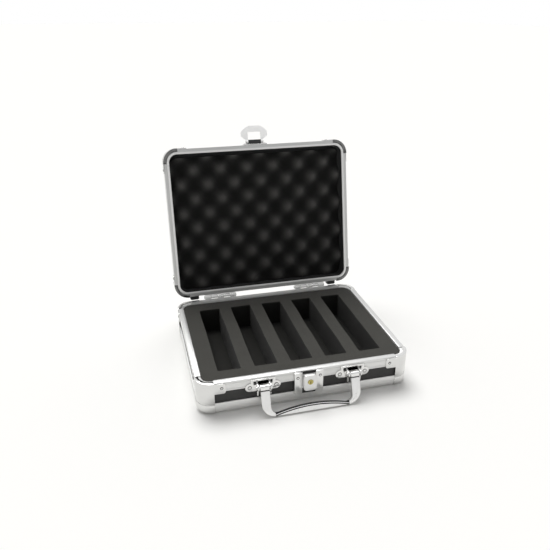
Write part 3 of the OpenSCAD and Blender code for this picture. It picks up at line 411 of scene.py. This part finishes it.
def plated_metal(name, colour, gloss, on_lid=False, brushed=0.0, painted_darkening=None):
    """Bright plating on pressed or cast metal: smudges, pinhead pits and slightly uneven reflections, with painted
    shade or dark reflection where a mask is given.
    """
    finish = Finish(name)
    spot = finish.place(on_lid)
    x, y, z = finish.axes(spot)
    smudge = finish.clouds(spot, 65.0, 5.0, 0.6)
    wave = finish.clouds(spot, 190.0, 1.0)
    pits = (1.0 - finish.cells(spot, 900.0) * 3.2).clamped()
    lines = finish.clouds(finish.join(x * 120.0, y * 2200.0, z * 2200.0), 1.0, 2.0)
    uneven = finish.bump(wave, 0.12 * MM, 0.35)
    metal = finish.blend(smudge, tint(colour, 0.9), tint(colour, 1.06))
    # Painted shade or dark reflection: where the given mask is up, the plating turns to the painted dark colour
    if painted_darkening:
        metal = finish.blend(painted_darkening(finish), metal, PAINTED_DARK)
    return finish.finished({
        "Base Color": metal,
        "Metallic": 1.0,
        "Roughness": gloss + smudge * 0.1 + lines * brushed + pits * 0.04,
        "Normal": finish.bump(lines * brushed * 4.0 - pits * 0.3, 0.01 * MM, 0.6, uneven),
    })


def dress_rivets(node, name, colour):
    """Soften the dimples of a set of rivets and plate their heads, with painted shade round their edge."""
    rivets = part_copy(node, name)
    round_edges(rivets, sizes().rivet_edge, 2)
    note_flatness(rivets)
    on_lid = BODY_OF[node] != "case_base"
    dress(rivets, node, plated_metal(f"{name}_plating", colour, 0.12, on_lid, painted_darkening=rivet_edge))


def grained_laminate(name, colour, on_lid=False):
    """Black laminated board with a fine pebble grain."""
    finish = Finish(name)
    spot = finish.place(on_lid)
    pebble = finish.cells(spot, 1500.0, "SMOOTH_F1")
    fine = finish.clouds(spot, 2600.0, 2.0)
    dust = finish.clouds(spot, 45.0, 4.0, 0.65)
    return finish.finished({
        "Base Color": finish.blend(dust * 0.7 + pebble * 0.3, tint(colour, 0.8), tint(colour, 1.3)),
        "Roughness": 0.38 + fine * 0.12 + dust * 0.1,
        "Specular IOR Level": 0.45,
        "Normal": finish.bump(pebble + fine * 0.25, 0.09 * MM, 0.8),
    })


def cell_foam(name, colour, cell, on_lid=False, mottle=0.16, low=0.0, high=0.0, painted_shade_share=1.0):
    """Cut foam: burst cells, tears and mottling, with painted shade that darkens it below a given height."""
    finish = Finish(name)
    spot = finish.place(on_lid)
    cells = finish.cells(spot, 1.0 / cell)
    small = finish.clouds(spot, 2.4 / cell, 3.0, 0.6)
    patches = finish.clouds(spot, 70.0, 4.0, 0.6)
    broad = finish.clouds(spot, 16.0, 2.0)
    mottling = (patches - 0.5) * mottle * 6.0 + (broad - 0.5) * mottle * 3.0
    shade = (0.5 + mottling + (small - 0.5) * 0.6).clamped()
    pores = (cells * 1.7).clamped()
    body = finish.blend(shade, tint(colour, 0.78), tint(colour, 1.2))
    body = finish.blend(pores * 0.45, body, tint(colour, 0.5))
    # Painted shade: below the low height the colour is darkened by the given share, fading to the full colour at
    # the high height
    if low != high:
        painted_light_by_height = finish.axes(spot)[2].ramp(low, high) ** 1.8
        body = finish.blend(painted_light_by_height, tint(colour, painted_shade_share), body)
    return finish.finished({
        "Base Color": body,
        "Roughness": 0.86 + small * 0.12,
        "Specular IOR Level": 0.18,
        "Sheen Weight": 0.12,
        "Sheen Roughness": 0.6,
        "Normal": finish.bump(small * 0.6 - pores, cell * 0.5, 0.75),
    })


def felt(name, colour):
    """Thin black felt with a short nap."""
    finish = Finish(name)
    spot = finish.place(on_lid=True)
    nap = finish.clouds(spot, 3200.0, 4.0, 0.7)
    drift = finish.clouds(spot, 90.0, 3.0)
    return finish.finished({
        "Base Color": finish.blend(nap * 0.6 + drift * 0.4, tint(colour, 0.6), tint(colour, 1.5)),
        "Roughness": 0.95,
        "Specular IOR Level": 0.1,
        "Sheen Weight": 0.2,
        "Normal": finish.bump(nap, 0.12 * MM, 0.8),
    })


def moulded_black(name, colour, roughness, on_lid=False):
    """Moulded rubber or plastic: faint flow marks and a fine matt skin."""
    finish = Finish(name)
    spot = finish.place(on_lid)
    skin = finish.clouds(spot, 1900.0, 3.0)
    flow = finish.clouds(spot, 120.0, 3.0)
    return finish.finished({
        "Base Color": finish.blend(flow, tint(colour, 0.8), tint(colour, 1.3)),
        "Roughness": roughness + skin * 0.1 - flow * 0.05,
        "Normal": finish.bump(skin, 0.03 * MM, 0.6),
    })


def wire_steel(name, colour, on_lid=False):
    """Drawn steel wire and turned pins."""
    finish = Finish(name)
    spot = finish.place(on_lid)
    x, y, z = finish.axes(spot)
    rings = finish.clouds(finish.join(x * 2500.0, y * 200.0, z * 200.0), 1.0, 2.0)
    stain = finish.clouds(spot, 160.0, 3.0)
    return finish.finished({
        "Base Color": finish.blend(stain, tint(colour, 0.8), tint(colour, 1.1)),
        "Metallic": 1.0,
        "Roughness": 0.22 + rings * 0.16 + stain * 0.08,
        "Normal": finish.bump(rings, 0.01 * MM, 0.6),
    })


# Sizes and colours that a user may change


def length(name, text, default, low=0.0):
    return bpy.props.FloatProperty(
        name=name, description=text, default=default, min=low, max=0.1, unit="LENGTH", precision=5
    )


def amount(name, text, default, low, high):
    return bpy.props.FloatProperty(name=name, description=text, default=default, min=low, max=high)


def colour(name, text, default):
    return bpy.props.FloatVectorProperty(
        name=name, description=text, default=default, size=3, min=0.0, max=1.0, subtype="COLOR"
    )


class CaseSizes(bpy.types.PropertyGroup):
    """Radii and foam sizes"""

    bar_edge: length("Extrusion edge", "Radius along the edges of the aluminium bars", 0.25 * MM)
    sheet_edge: length("Sheet edge", "Radius along the edges of pressed sheet parts", 0.28 * MM)
    handle_edge: length("Handle edge", "Radius along the edges of the handle", 1.15 * MM)
    cap_edge: length("Lock cap edge", "Radius along the front edges of the lock's cap", 0.7 * MM)
    rivet_edge: length("Rivet edge", "Radius round a rivet's dimple", 0.15 * MM)
    foam_edge: length("Foam edge", "Radius along the cut edges of the slotted foam", 0.45 * MM)
    slot_corner: length("Slot corner", "Radius in the corners of a battery slot", 1.3 * MM)
    foam_wobble: length("Foam wobble", "How far the cut edges wander", 0.4 * MM)
    crate_pitch_x: length("Peak pitch across", "Distance between the foam peaks of a row", 33.6 * MM)
    crate_pitch_y: length("Peak pitch down", "Distance over which two rows of peaks repeat", 36.0 * MM)
    crate_cell: length("Foam grid", "Size of the mesh faces on the egg-crate foam", 1.1 * MM, 0.4 * MM)


class CaseColours(bpy.types.PropertyGroup):
    """Colours of the finishes"""

    aluminium: colour("Aluminium", "Anodised bars", (0.8, 0.8, 0.79))
    nickel: colour("Nickel", "Corner caps, rivets and hinges", (0.66, 0.66, 0.65))
    chrome: colour("Chrome", "Handle, brackets, lock and hasp", (0.75, 0.75, 0.74))
    laminate: colour("Laminate", "Black wall boards", (0.03, 0.03, 0.029))
    base_foam: colour("Slotted foam", "Foam in the base", (0.066, 0.064, 0.056))
    pad_foam: colour("Slot floor", "Pad under the slotted foam", (0.024, 0.023, 0.02))
    lid_foam: colour("Egg-crate foam", "Foam in the lid", (0.128, 0.125, 0.119))
    black: colour("Black", "Lining, rubber and hinge block", (0.02, 0.02, 0.02))
    steel: colour("Steel", "Pins and springs", (0.55, 0.55, 0.54))
    brass: colour("Brass", "Key cylinder", (0.46, 0.4, 0.15))


class CaseStudio(bpy.types.PropertyGroup):
    """Light, floor and camera"""

    floor: colour("Floor", "Colour of the studio floor", (0.985, 0.98, 0.96))
    floor_lift: amount("Floor lift", "What the camera sees added to the floor", 0.03, 0.0, 1.0)
    sky: amount("Sky", "Strength of the even light from all sides", 0.5, 0.0, 3.0)
    sun: amount("Overhead light", "Strength of the broad light from above", 2.1, 0.0, 9.0)
    sun_width: bpy.props.FloatProperty(
        name="Light width",
        description="Apparent width of the overhead light",
        default=radians(40),
        min=0.0,
        max=pi,
        subtype="ANGLE",
    )
    camera_place: bpy.props.FloatVectorProperty(
        name="Camera place",
        description="Where the camera stands",
        default=(-0.16319, -0.58130, 0.38506),
        size=3,
        subtype="TRANSLATION",
    )
    camera_aim: bpy.props.FloatVectorProperty(
        name="Camera aim",
        description="Direction in which the camera looks",
        default=(0.22857, 0.87810, -0.42035),
        size=3,
        subtype="XYZ",
    )
    camera_lens: amount("Lens", "Focal length on a 36 mm sensor", 38.63, 10.0, 200.0)


def sizes():
    return bpy.context.scene.case_sizes


def colours():
    return bpy.context.scene.case_colours


def studio():
    return bpy.context.scene.case_studio


# Pieces


class CASE_OT_extrusions(bpy.types.Operator):
    """Round the edges of the four aluminium frames and give them their drawn finish"""

    bl_idname = "case.extrusions"
    bl_label = "Aluminium frames"

    def execute(self, context):
        lid_top = shut_height("lid_edge_frame", max)
        base = drawn_aluminium("drawn_aluminium_base", colours().aluminium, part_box("base_rim")[1].z)
        lid = drawn_aluminium("drawn_aluminium_lid", colours().aluminium, lid_top, on_lid=True)
        for node, finish in (
            ("base_rim", base),
            ("base_edge_frame", base),
            ("lid_rim", lid),
            ("lid_edge_frame", lid),
        ):
            bar = part_copy(node, node + "_bar")
            round_edges(bar, sizes().bar_edge, 2)
            dress(bar, node, finish)
        return {"FINISHED"}


class CASE_OT_boards(bpy.types.Operator):
    """Give the wall boards, floor, top and posts their grained black finish"""

    bl_idname = "case.boards"
    bl_label = "Black boards"

    def execute(self, context):
        base = grained_laminate("grained_laminate_base", colours().laminate)
        lid = grained_laminate("grained_laminate_lid", colours().laminate, on_lid=True)
        post = moulded_black("corner_post_black", colours().black, 0.5)
        for side in ("front", "rear", "left", "right"):
            give_finish(f"base_{side}_panel", base)
            give_finish(f"lid_{side}_panel", lid)
        give_finish("base_floor_panel", base)
        give_finish("lid_top_panel", lid)
        give_finish("base_corner_posts", post)
        give_finish("lid_corner_posts", post)
        return {"FINISHED"}


class CASE_OT_corner_caps(bpy.types.Operator):
    """Round the edges of the eight corner caps and their rivets and plate them"""

    bl_idname = "case.corner_caps"
    bl_label = "Corner caps"

    def execute(self, context):
        # Painted light and shade: the base caps are plated 6% lighter and the lid caps 5% darker than the nickel
        # colour, and the lid caps also get a painted dark reflection on their rims
        for half, share, painted_rim_reflection in (("base", 1.06, None), ("lid", 0.95, lid_cap_rim_painted_reflection)):
            nickel = tint(colours().nickel, share)
            plating = plated_metal(f"nickel_{half}", nickel, 0.1, half == "lid", painted_darkening=painted_rim_reflection)
            for corner in ("front_left", "front_right", "rear_left", "rear_right"):
                cap = part_copy(f"{half}_cap_{corner}", f"{half}_corner_{corner}")
                round_edges(cap, sizes().sheet_edge, 2)
                dress(cap, f"{half}_cap_{corner}", plating)
            dress_rivets(f"{half}_cap_rivets", f"{half}_corner_rivets", colours().nickel)
        return {"FINISHED"}


class CASE_OT_slotted_foam(bpy.types.Operator):
    """Cut the foam block with its battery slots, soften its edges, and lay the pad under it"""

    bl_idname = "case.slotted_foam"
    bl_label = "Slotted foam"

    def execute(self, context):
        self.block()
        self.pad()
        return {"FINISHED"}

    def block(self):
        """Cut a cube along the slots and in rows across them, open the slots, and soften the edges"""
        low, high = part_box("slotted_foam")
        clear_selection()
        bpy.ops.mesh.primitive_cube_add(size=1.0, location=(low + high) / 2, scale=high - low)
        foam = settle(bpy.context.object)
        foam.name = "slotted_foam_block"
        edit(foam)
        cuts = [(middle + side * SLOT_WIDTH / 2, 0) for middle in SLOT_MIDDLES for side in (-1, 1)]
        cuts += [(side * SLOT_LENGTH / 2, 1) for side in (-1, 1)]
        cuts += [(step * SLOT_LENGTH / 18, 1) for step in range(-8, 9)]
        for at, axis in cuts:
            bpy.ops.mesh.select_all(action="SELECT")
            point, normal = [0.0, 0.0, 0.0], [0.0, 0.0, 0.0]
            point[axis], normal[axis] = at, 1.0
            bpy.ops.mesh.bisect(plane_co=point, plane_no=normal)
        for middle in SLOT_MIDDLES:
            self.cut_slot(foam, middle)
        done(foam)
        near = high - Vector((MM, MM, 0.0))
        round_edges(foam, FOAM_CORNER, 10, where=lambda at: abs(at.x) > near.x and abs(at.y) > near.y)
        round_edges(foam, sizes().slot_corner, 4, where=self.in_slot_corner)
        round_edges(foam, sizes().foam_edge, 3, where=lambda at: at.z > high.z - 0.01 * MM)
        self.wander(foam, low, high)
        face_out(foam)
        smooth(foam, 40)
        # Painted shade: the slot walls below the top are darkened, down to 0.4 of the foam colour
        top = high.z - 0.6 * MM
        painted_light_by_height = {"low": top - 2 * MM, "high": top, "painted_shade_share": 0.4}
        finish = cell_foam("charcoal_cut_foam", colours().base_foam, 0.75 * MM, **painted_light_by_height)
        dress(foam, "slotted_foam", finish)

    def cut_slot(self, foam, middle):
        """Open the block from top to bottom inside one slot"""
        mesh = bmesh.from_edit_mesh(foam.data)
        bpy.ops.mesh.select_mode(type="FACE")
        bpy.ops.mesh.select_all(action="DESELECT")
        for face in mesh.faces:
            at = face.calc_center_median()
            inside = abs(at.x - middle) < SLOT_WIDTH / 2 and abs(at.y) < SLOT_LENGTH / 2
            face.select_set(inside and abs(face.normal.z) > 0.9)
        bpy.ops.mesh.delete(type="ONLY_FACE")
        bpy.ops.mesh.select_mode(type="EDGE")
        bpy.ops.mesh.select_all(action="DESELECT")
        mesh = bmesh.from_edit_mesh(foam.data)
        for line in mesh.edges:
            line.select_set(line.is_wire or line.is_boundary)
        for line in [line for line in mesh.edges if line.is_wire]:
            mesh.edges.remove(line)
        bmesh.update_edit_mesh(foam.data)
        bpy.ops.mesh.bridge_edge_loops()

    def in_slot_corner(self, at):
        """Whether a place lies on an upright edge of a slot"""
        off_side = min(abs(abs(at.x - middle) - SLOT_WIDTH / 2) for middle in SLOT_MIDDLES)
        off_end = abs(abs(at.y) - SLOT_LENGTH / 2)
        return off_side < 0.01 * MM and off_end < 0.01 * MM

    def wander(self, foam, low, high):
        """Let the cut edges wander a little, most at the top and not at all along the block's outside"""
        reach = sizes().foam_wobble
        still, easing = 2 * MM, 10 * MM
        for point in foam.data.vertices:
            at = point.co
            edge = min(high.x - abs(at.x), high.y - abs(at.y))
            hold = min(1.0, max(0.0, (edge - still) / easing))
            share = (at.z - low.z) / (high.z - low.z)
            drift = noise.noise_vector(Vector((at.x * 30, at.y * 26, 4.0)))
            point.co.x += hold * share * reach * drift.x * 1.6
            point.co.y += hold * share * reach * drift.y
            if at.z > high.z - 1 * MM:
                point.co.z -= hold * reach * (0.35 + 0.6 * drift.z)

    def pad(self):
        low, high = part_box("foam_base_pad")
        clear_selection()
        bpy.ops.mesh.primitive_cube_add(size=1.0, location=(low + high) / 2, scale=high - low)
        pad = settle(bpy.context.object)
        pad.name = "slot_floor_pad"
        round_edges(pad, FOAM_CORNER, 10, where=lambda at: abs(at.z - (low.z + high.z) / 2) < 0.2 * MM)
        round_edges(pad, 0.3 * MM, 2)
        finish = cell_foam("black_pad_foam", colours().pad_foam, 0.6 * MM)
        dress(pad, "foam_base_pad", finish)


class CASE_OT_egg_crate(bpy.types.Operator):
    """Model the lid's egg-crate foam with its staggered peaks, and the felt round it"""

    bl_idname = "case.egg_crate"
    bl_label = "Egg-crate foam"

    def execute(self, context):
        self.foam()
        lining = part_copy("lid_lining", "lid_felt_lining")
        round_edges(lining, 0.35 * MM, 3)
        dress(lining, "lid_lining", felt("black_felt", colours().black))
        return {"FINISHED"}

    def foam(self):
        half_x, half_y, corner = 108.7 * MM, 84.9 * MM, 8.7 * MM
        back, valley, peak = 4.5 * MM, 10.4 * MM, 22.5 * MM
        peak_x, peak_y, front_cut = -13.6 * MM, 5.0 * MM, 3.6 * MM
        step = sizes().crate_cell
        across, down = round(2 * half_x / step), round(2 * half_y / step)
        clear_selection()
        bpy.ops.mesh.primitive_grid_add(x_subdivisions=across, y_subdivisions=down, size=2.0)
        foam = bpy.context.object
        foam.name = "egg_crate_peaks"
        wave_x = 2 * pi / sizes().crate_pitch_x
        wave_y = 2 * pi / sizes().crate_pitch_y
        for point in foam.data.vertices:
            y = point.co.y * half_y
            past = max(0.0, abs(y) - (half_y - corner))
            x = point.co.x * (half_x - corner + sqrt(max(0.0, corner**2 - past**2)))
            y += front_cut * (half_y - y) / (2 * half_y)
            swing = cos(wave_x * (x - peak_x)) * cos(wave_y * (y - peak_y))
            rough = (noise.noise(Vector((x * 90, y * 90, 0.0))) - 0.5) * 0.25 * MM
            point.co = (x, y, valley + (peak - valley) * (0.5 + swing / 2) ** 1.4 + rough)
        self.give_back(foam, back)
        face_out(foam)
        shut_lid = Matrix.Translation((0.0, 0.0, LID_TOP)) @ Matrix.Scale(-1.0, 4, (0.0, 0.0, 1.0))
        settle(foam, LID_OPENED @ shut_lid)
        face_out(foam)
        smooth(foam, 60)
        # Painted light and shade: the peaks keep the full foam colour and the valleys are darkened to 0.09 of it
        low, high = LID_TOP - valley - 2 * MM, LID_TOP - peak
        finish = cell_foam("black_egg_crate_foam", colours().lid_foam, 0.8 * MM, True, 0.1, low, high, 0.09)
        dress(foam, "egg_crate_foam", finish)

    def give_back(self, foam, back):
        """Draw the outline down to the glued back and close it"""
        edit(foam)
        bpy.ops.mesh.select_non_manifold()
        bpy.ops.mesh.extrude_edges_move(TRANSFORM_OT_translate={"value": (0.0, 0.0, 0.0)})
        mesh = bmesh.from_edit_mesh(foam.data)
        for point in mesh.verts:
            if point.select:
                point.co.z = back
        bpy.ops.mesh.edge_face_add()
        done(foam)


class CASE_OT_springs(bpy.types.Operator):
    """Wind the catch spring and the hasp spring from wire"""

    bl_idname = "case.springs"
    bl_label = "Springs"

    def execute(self, context):
        self.catch_spring()
        self.hasp_spring()
        return {"FINISHED"}

    def wound(self, name, width, height, turns):
        """A coil of round wire of an outer width and height, standing on the origin along +Z"""
        radius = (width - SPRING_WIRE) / 2
        clear_selection()
        bpy.ops.mesh.primitive_circle_add(
            vertices=10,
            radius=SPRING_WIRE / 2,
            location=(radius, 0.0, SPRING_WIRE / 2),
            rotation=(pi / 2, 0.0, 0.0),
        )
        coil = settle(bpy.context.object)
        coil.name = name
        wind = coil.modifiers.new("Turns", "SCREW")
        wind.axis = "Z"
        wind.iterations = turns
        wind.screw_offset = (height - SPRING_WIRE) / turns
        wind.steps = wind.render_steps = 24
        bpy.ops.object.modifier_apply(modifier=wind.name)
        edit(coil)
        bpy.ops.mesh.select_non_manifold()
        bpy.ops.mesh.fill_holes(sides=0)
        done(coil)
        face_out(coil)
        return smooth(coil, 50)

    def catch_spring(self):
        low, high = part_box("catch_spring")
        middle = (low + high) / 2
        coil = self.wound("catch_spring_coil", high.x - low.x, high.z - low.z, 7)
        settle(coil, Matrix.Translation((middle.x, middle.y, low.z)))
        dress(coil, "catch_spring", wire_steel("spring_wire", colours().steel))
        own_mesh(coil)

    def hasp_spring(self):
        low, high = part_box("hasp_spring")
        middle = (low + high) / 2
        coil = self.wound("hasp_spring_coil", high.y - low.y, high.x - low.x, 9)
        along_pin = Matrix.Translation((low.x, middle.y, middle.z)) @ Matrix.Rotation(pi / 2, 4, "Y")
        settle(coil, along_pin)
        dress(coil, "hasp_spring", wire_steel("hasp_spring_wire", colours().steel, True))


class CASE_OT_hinges(bpy.types.Operator):
    """Round the hinge leaves and the rear feet and finish them with their pins"""

    bl_idname = "case.hinges"
    bl_label = "Hinges and feet"

    def execute(self, context):
        pin = wire_steel("hinge_pin_steel", colours().steel)
        for half in ("base", "lid"):
            plating = plated_metal(f"hinge_nickel_{half}", colours().nickel, 0.22, half == "lid")
            rubber = moulded_black(f"foot_rubber_{half}", colours().black, 0.62, half == "lid")
            for side in ("left", "right"):
                leaf = part_copy(f"hinge_{half}_leaf_{side}", f"{half}_hinge_{side}")
                round_edges(leaf, 0.15 * MM, 2)
                dress(leaf, f"hinge_{half}_leaf_{side}", plating)
                foot = part_copy(f"{half}_rear_foot_{side}", f"{half}_foot_{side}")
                round_edges(foot, 0.35 * MM, 3)
                dress(foot, f"{half}_rear_foot_{side}", rubber)
            dress_rivets(f"hinge_{half}_rivets", f"{half}_hinge_rivets", colours().nickel)
        for side in ("left", "right"):
            give_finish(f"hinge_pin_{side}", pin)
        return {"FINISHED"}


class CASE_OT_handle(bpy.types.Operator):
    """Round the handle, its two brackets, pins and rivets, and chrome them"""

    bl_idname = "case.handle"
    bl_label = "Handle"

    def execute(self, context):
        self.handle()
        self.brackets()
        dress_rivets("handle_bracket_rivets", "bracket_rivets", colours().chrome)
        return {"FINISHED"}

    def handle(self):
        """Round the handle fully below the grooves across its legs, and a little above them"""
        # Painted light: the handle is plated 12% lighter than the chrome colour, so its faces come out paler
        painted_light_chrome = tint(colours().chrome, 1.12)
        chrome = plated_metal("handle_chrome", painted_light_chrome, 0.22, brushed=0.04, painted_darkening=handle_painted_shade)
        handle = part_copy("handle", "carrying_handle")
        hanging = Matrix.Rotation(HANDLE_TILT, 4, "X") @ Matrix.Translation(-HANDLE_PIVOT)

        def below_legs_groove(at):
            place = hanging @ at
            return place.z < -4.1 * MM and not self.in_groove(place)

        def above_legs_groove(at):
            return (hanging @ at).z > -2.6 * MM

        round_edges(handle, sizes().handle_edge, 4, 40, below_legs_groove)
        round_edges(handle, 0.3 * MM, 2, 40, above_legs_groove)
        dress(handle, "handle", chrome)

    def in_groove(self, place):
        """Whether a place on the hanging handle lies in the grip's groove, whose edges stay sharp"""
        from_arch = Vector((place.x, 0.0, place.z + GRIP_ARCH_DROP)).length
        inside = MM < GRIP_ARCH_RADIUS - from_arch < 2.7 * MM
        return inside and abs(place.x) < GRIP_HALF - MM and place.z < GRIP_TOP

    def brackets(self):
        """Press the bar over each bracket's window nearly level with its plate, and finish it with its pin"""
        plate = plated_metal("bracket_chrome", colours().chrome, 0.12)
        bar_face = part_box("base_rim")[0].y - BRACKET_BAR_OUT
        for side in ("left", "right"):
            bracket = part_copy(f"handle_bracket_{side}", f"bracket_{side}")
            for point in bracket.data.vertices:
                if point.co.z > BRACKET_BAR_LOW:
                    point.co.y = max(point.co.y, bar_face)
            round_edges(bracket, sizes().sheet_edge, 2)
            dress(bracket, f"handle_bracket_{side}", plate)
            give_finish(f"handle_pin_{side}", plate)


class CASE_OT_lock(bpy.types.Operator):
    """Round the lock's housing and cap and finish the liner and the key cylinder"""

    bl_idname = "case.lock"
    bl_label = "Lock"

    def execute(self, context):
        chrome = plated_metal("lock_chrome", colours().chrome, 0.26)
        satin = plated_metal("lock_cap_satin", colours().chrome, 0.34, brushed=0.05)
        brass = plated_metal("key_brass", colours().brass, 0.2)
        housing = part_copy("lock_housing", "lock_cheeks")
        round_edges(housing, sizes().sheet_edge, 2)
        dress(housing, "lock_housing", chrome)
        cap = part_copy("lock_cap", "sliding_cap")
        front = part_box("lock_cap")[0].y
        round_edges(cap, sizes().cap_edge, 4, 40, lambda at: at.y < front + 0.01 * MM)
        dress(cap, "lock_cap", satin)
        barrel = part_copy("key_cylinder", "key_barrel")
        round_edges(barrel, 0.12 * MM, 2)
        dress(barrel, "key_cylinder", brass)
        dress_rivets("lock_rivets", "lock_housing_rivets", colours().chrome)
        give_finish("lock_back_plate", moulded_black("lock_liner_black", colours().black, 0.4))
        return {"FINISHED"}


class CASE_OT_hasp(bpy.types.Operator):
    """Round the hasp's bracket, loop, block and rivets and finish them with the pin"""

    bl_idname = "case.hasp"
    bl_label = "Hasp"

    def execute(self, context):
        # Painted shade: the hasp's plate is plated 30% darker than the chrome colour
        chrome = plated_metal("hasp_chrome", tint(colours().chrome, 0.7), 0.1, True)
        # Painted light: the loop is a satin plating 30% lighter than the chrome colour
        satin = plated_metal("hasp_satin_painted_light", tint(colours().chrome, 1.3), 0.5, True)
        black = moulded_black("hinge_block_black", colours().black, 0.28, True)
        for node, name, radius, finish, slot in (
            ("hasp_bracket", "hasp_plate", 0.2 * MM, chrome, "hasp_chrome"),
            ("hasp_loop", "hasp_ring", 0.7 * MM, satin, "hasp_chrome"),
            ("hasp_hinge_block", "hasp_block", 0.3 * MM, black, "hinge_block"),
        ):
            piece = part_copy(node, name)
            round_edges(piece, radius, 3)
            dress(piece, node, finish)
        dress_rivets("hasp_rivets", "hasp_plate_rivets", colours().chrome)
        give_finish("hasp_pin", wire_steel("hasp_pin_steel", colours().steel, True))
        return {"FINISHED"}


class CASE_OT_stage(bpy.types.Operator):
    """Lay the pale floor and set the studio light and the camera"""

    bl_idname = "case.stage"
    bl_label = "Studio"

    def execute(self, context):
        self.floor()
        self.light(context)
        self.camera(context)
        return {"FINISHED"}

    def seen(self, finish):
        """1 for what the camera sees, also in metal and through glass"""
        direct = finish.node("ShaderNodeLightPath", output="Is Camera Ray")
        glossy = finish.node("ShaderNodeLightPath", output="Is Glossy Ray")
        through = finish.node("ShaderNodeLightPath", output="Is Transmission Ray")
        return (direct + glossy + through).clamped()

    def floor(self):
        clear_selection()
        bpy.ops.mesh.primitive_plane_add(size=14.0, location=(0.0, 5.5, 0.0))
        ground = bpy.context.object
        ground.name = "studio_floor"
        finish = Finish("studio_floor_white")
        matt = finish.node("ShaderNodeBsdfDiffuse", None, {"Color": tint(studio().floor, 1.0)})
        glow = {"Color": (1.0, 1.0, 1.0, 1.0), "Strength": self.seen(finish) * studio().floor_lift}
        lift = finish.node("ShaderNodeEmission", None, glow)
        both = finish.node("ShaderNodeAddShader", None, {0: matt, 1: lift})
        ground.data.materials.append(finish.close(both))

    def light(self, context):
        """A white sky with two dark bands that only metal shows, and a broad lamp overhead"""
        world = bpy.data.worlds.new("studio_sky")
        context.scene.world = world
        finish = Finish("studio_sky", world)
        toward = finish.node("ShaderNodeTexCoord", output="Generated")
        y, z = finish.axes(toward)[1:]
        low_band = z.ramp(-0.16, -0.08) * (1.0 - z.ramp(0.0, 0.1))
        high_band = z.ramp(0.45, 0.6) * (1.0 - z.ramp(0.85, 0.95))
        dark_room = y.ramp(-0.25, -0.6) * (low_band + high_band)
        fill = y.ramp(-0.7, 0.5) * 0.95 + 0.25
        seen = self.seen(finish)
        background = seen * (1.0 - dark_room * 0.7) + (1.0 - seen) * fill * studio().sky
        direct = finish.node("ShaderNodeLightPath", output="Is Camera Ray")
        glow = {"Color": (1.0, 1.0, 1.0, 1.0), "Strength": direct + (1.0 - direct) * background}
        finish.close(finish.node("ShaderNodeBackground", None, glow), "ShaderNodeOutputWorld")
        clear_selection()
        turn = (radians(-25), radians(-4), 0.0)
        bpy.ops.object.light_add(type="SUN", location=(0.0, 0.4, 1.5), rotation=turn)
        lamp = context.object
        lamp.name = "overhead_softbox"
        lamp.data.energy = studio().sun
        lamp.data.angle = studio().sun_width

    def camera(self, context):
        clear_selection()
        bpy.ops.object.camera_add(location=studio().camera_place)
        camera = context.object
        camera.name = "picture_camera"
        camera.rotation_euler = Vector(studio().camera_aim).to_track_quat("-Z", "Y").to_euler()
        camera.data.sensor_width = 36.0
        camera.data.sensor_fit = "HORIZONTAL"
        camera.data.lens = studio().camera_lens
        camera.data.clip_start = 0.01
        context.scene.camera = camera
        context.scene.view_settings.view_transform = "Standard"


OPERATORS = (
    CASE_OT_extrusions,
    CASE_OT_boards,
    CASE_OT_corner_caps,
    CASE_OT_slotted_foam,
    CASE_OT_egg_crate,
    CASE_OT_springs,
    CASE_OT_hinges,
    CASE_OT_handle,
    CASE_OT_lock,
    CASE_OT_hasp,
    CASE_OT_stage,
)


class CASE_PT_panel(bpy.types.Panel):
    """Steps, sizes and colours of the battery case"""

    bl_idname = "CASE_PT_panel"
    bl_label = "Battery case"
    bl_space_type = "VIEW_3D"
    bl_region_type = "UI"
    bl_category = "Case"

    def draw(self, context):
        for step in OPERATORS:
            self.layout.operator(step.bl_idname)
        for title, group in (
            ("Sizes", context.scene.case_sizes),
            ("Colours", context.scene.case_colours),
            ("Studio", context.scene.case_studio),
        ):
            box = self.layout.box()
            box.label(text=title)
            for name in group.__annotations__:
                box.prop(group, name)


CLASSES = (CaseSizes, CaseColours, CaseStudio, *OPERATORS, CASE_PT_panel)


def register():
    for each in CLASSES:
        bpy.utils.register_class(each)
    bpy.types.Scene.case_sizes = bpy.props.PointerProperty(type=CaseSizes)
    bpy.types.Scene.case_colours = bpy.props.PointerProperty(type=CaseColours)
    bpy.types.Scene.case_studio = bpy.props.PointerProperty(type=CaseStudio)


def unregister():
    del bpy.types.Scene.case_studio
    del bpy.types.Scene.case_colours
    del bpy.types.Scene.case_sizes
    for each in reversed(CLASSES):
        bpy.utils.unregister_class(each)


def main():
    """Build every piece in turn."""
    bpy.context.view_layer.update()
    register()
    for step in OPERATORS:
        group, name = step.bl_idname.split(".")
        getattr(getattr(bpy.ops, group), name)()
    clear_selection()


if __name__ == "__main__":
    main()
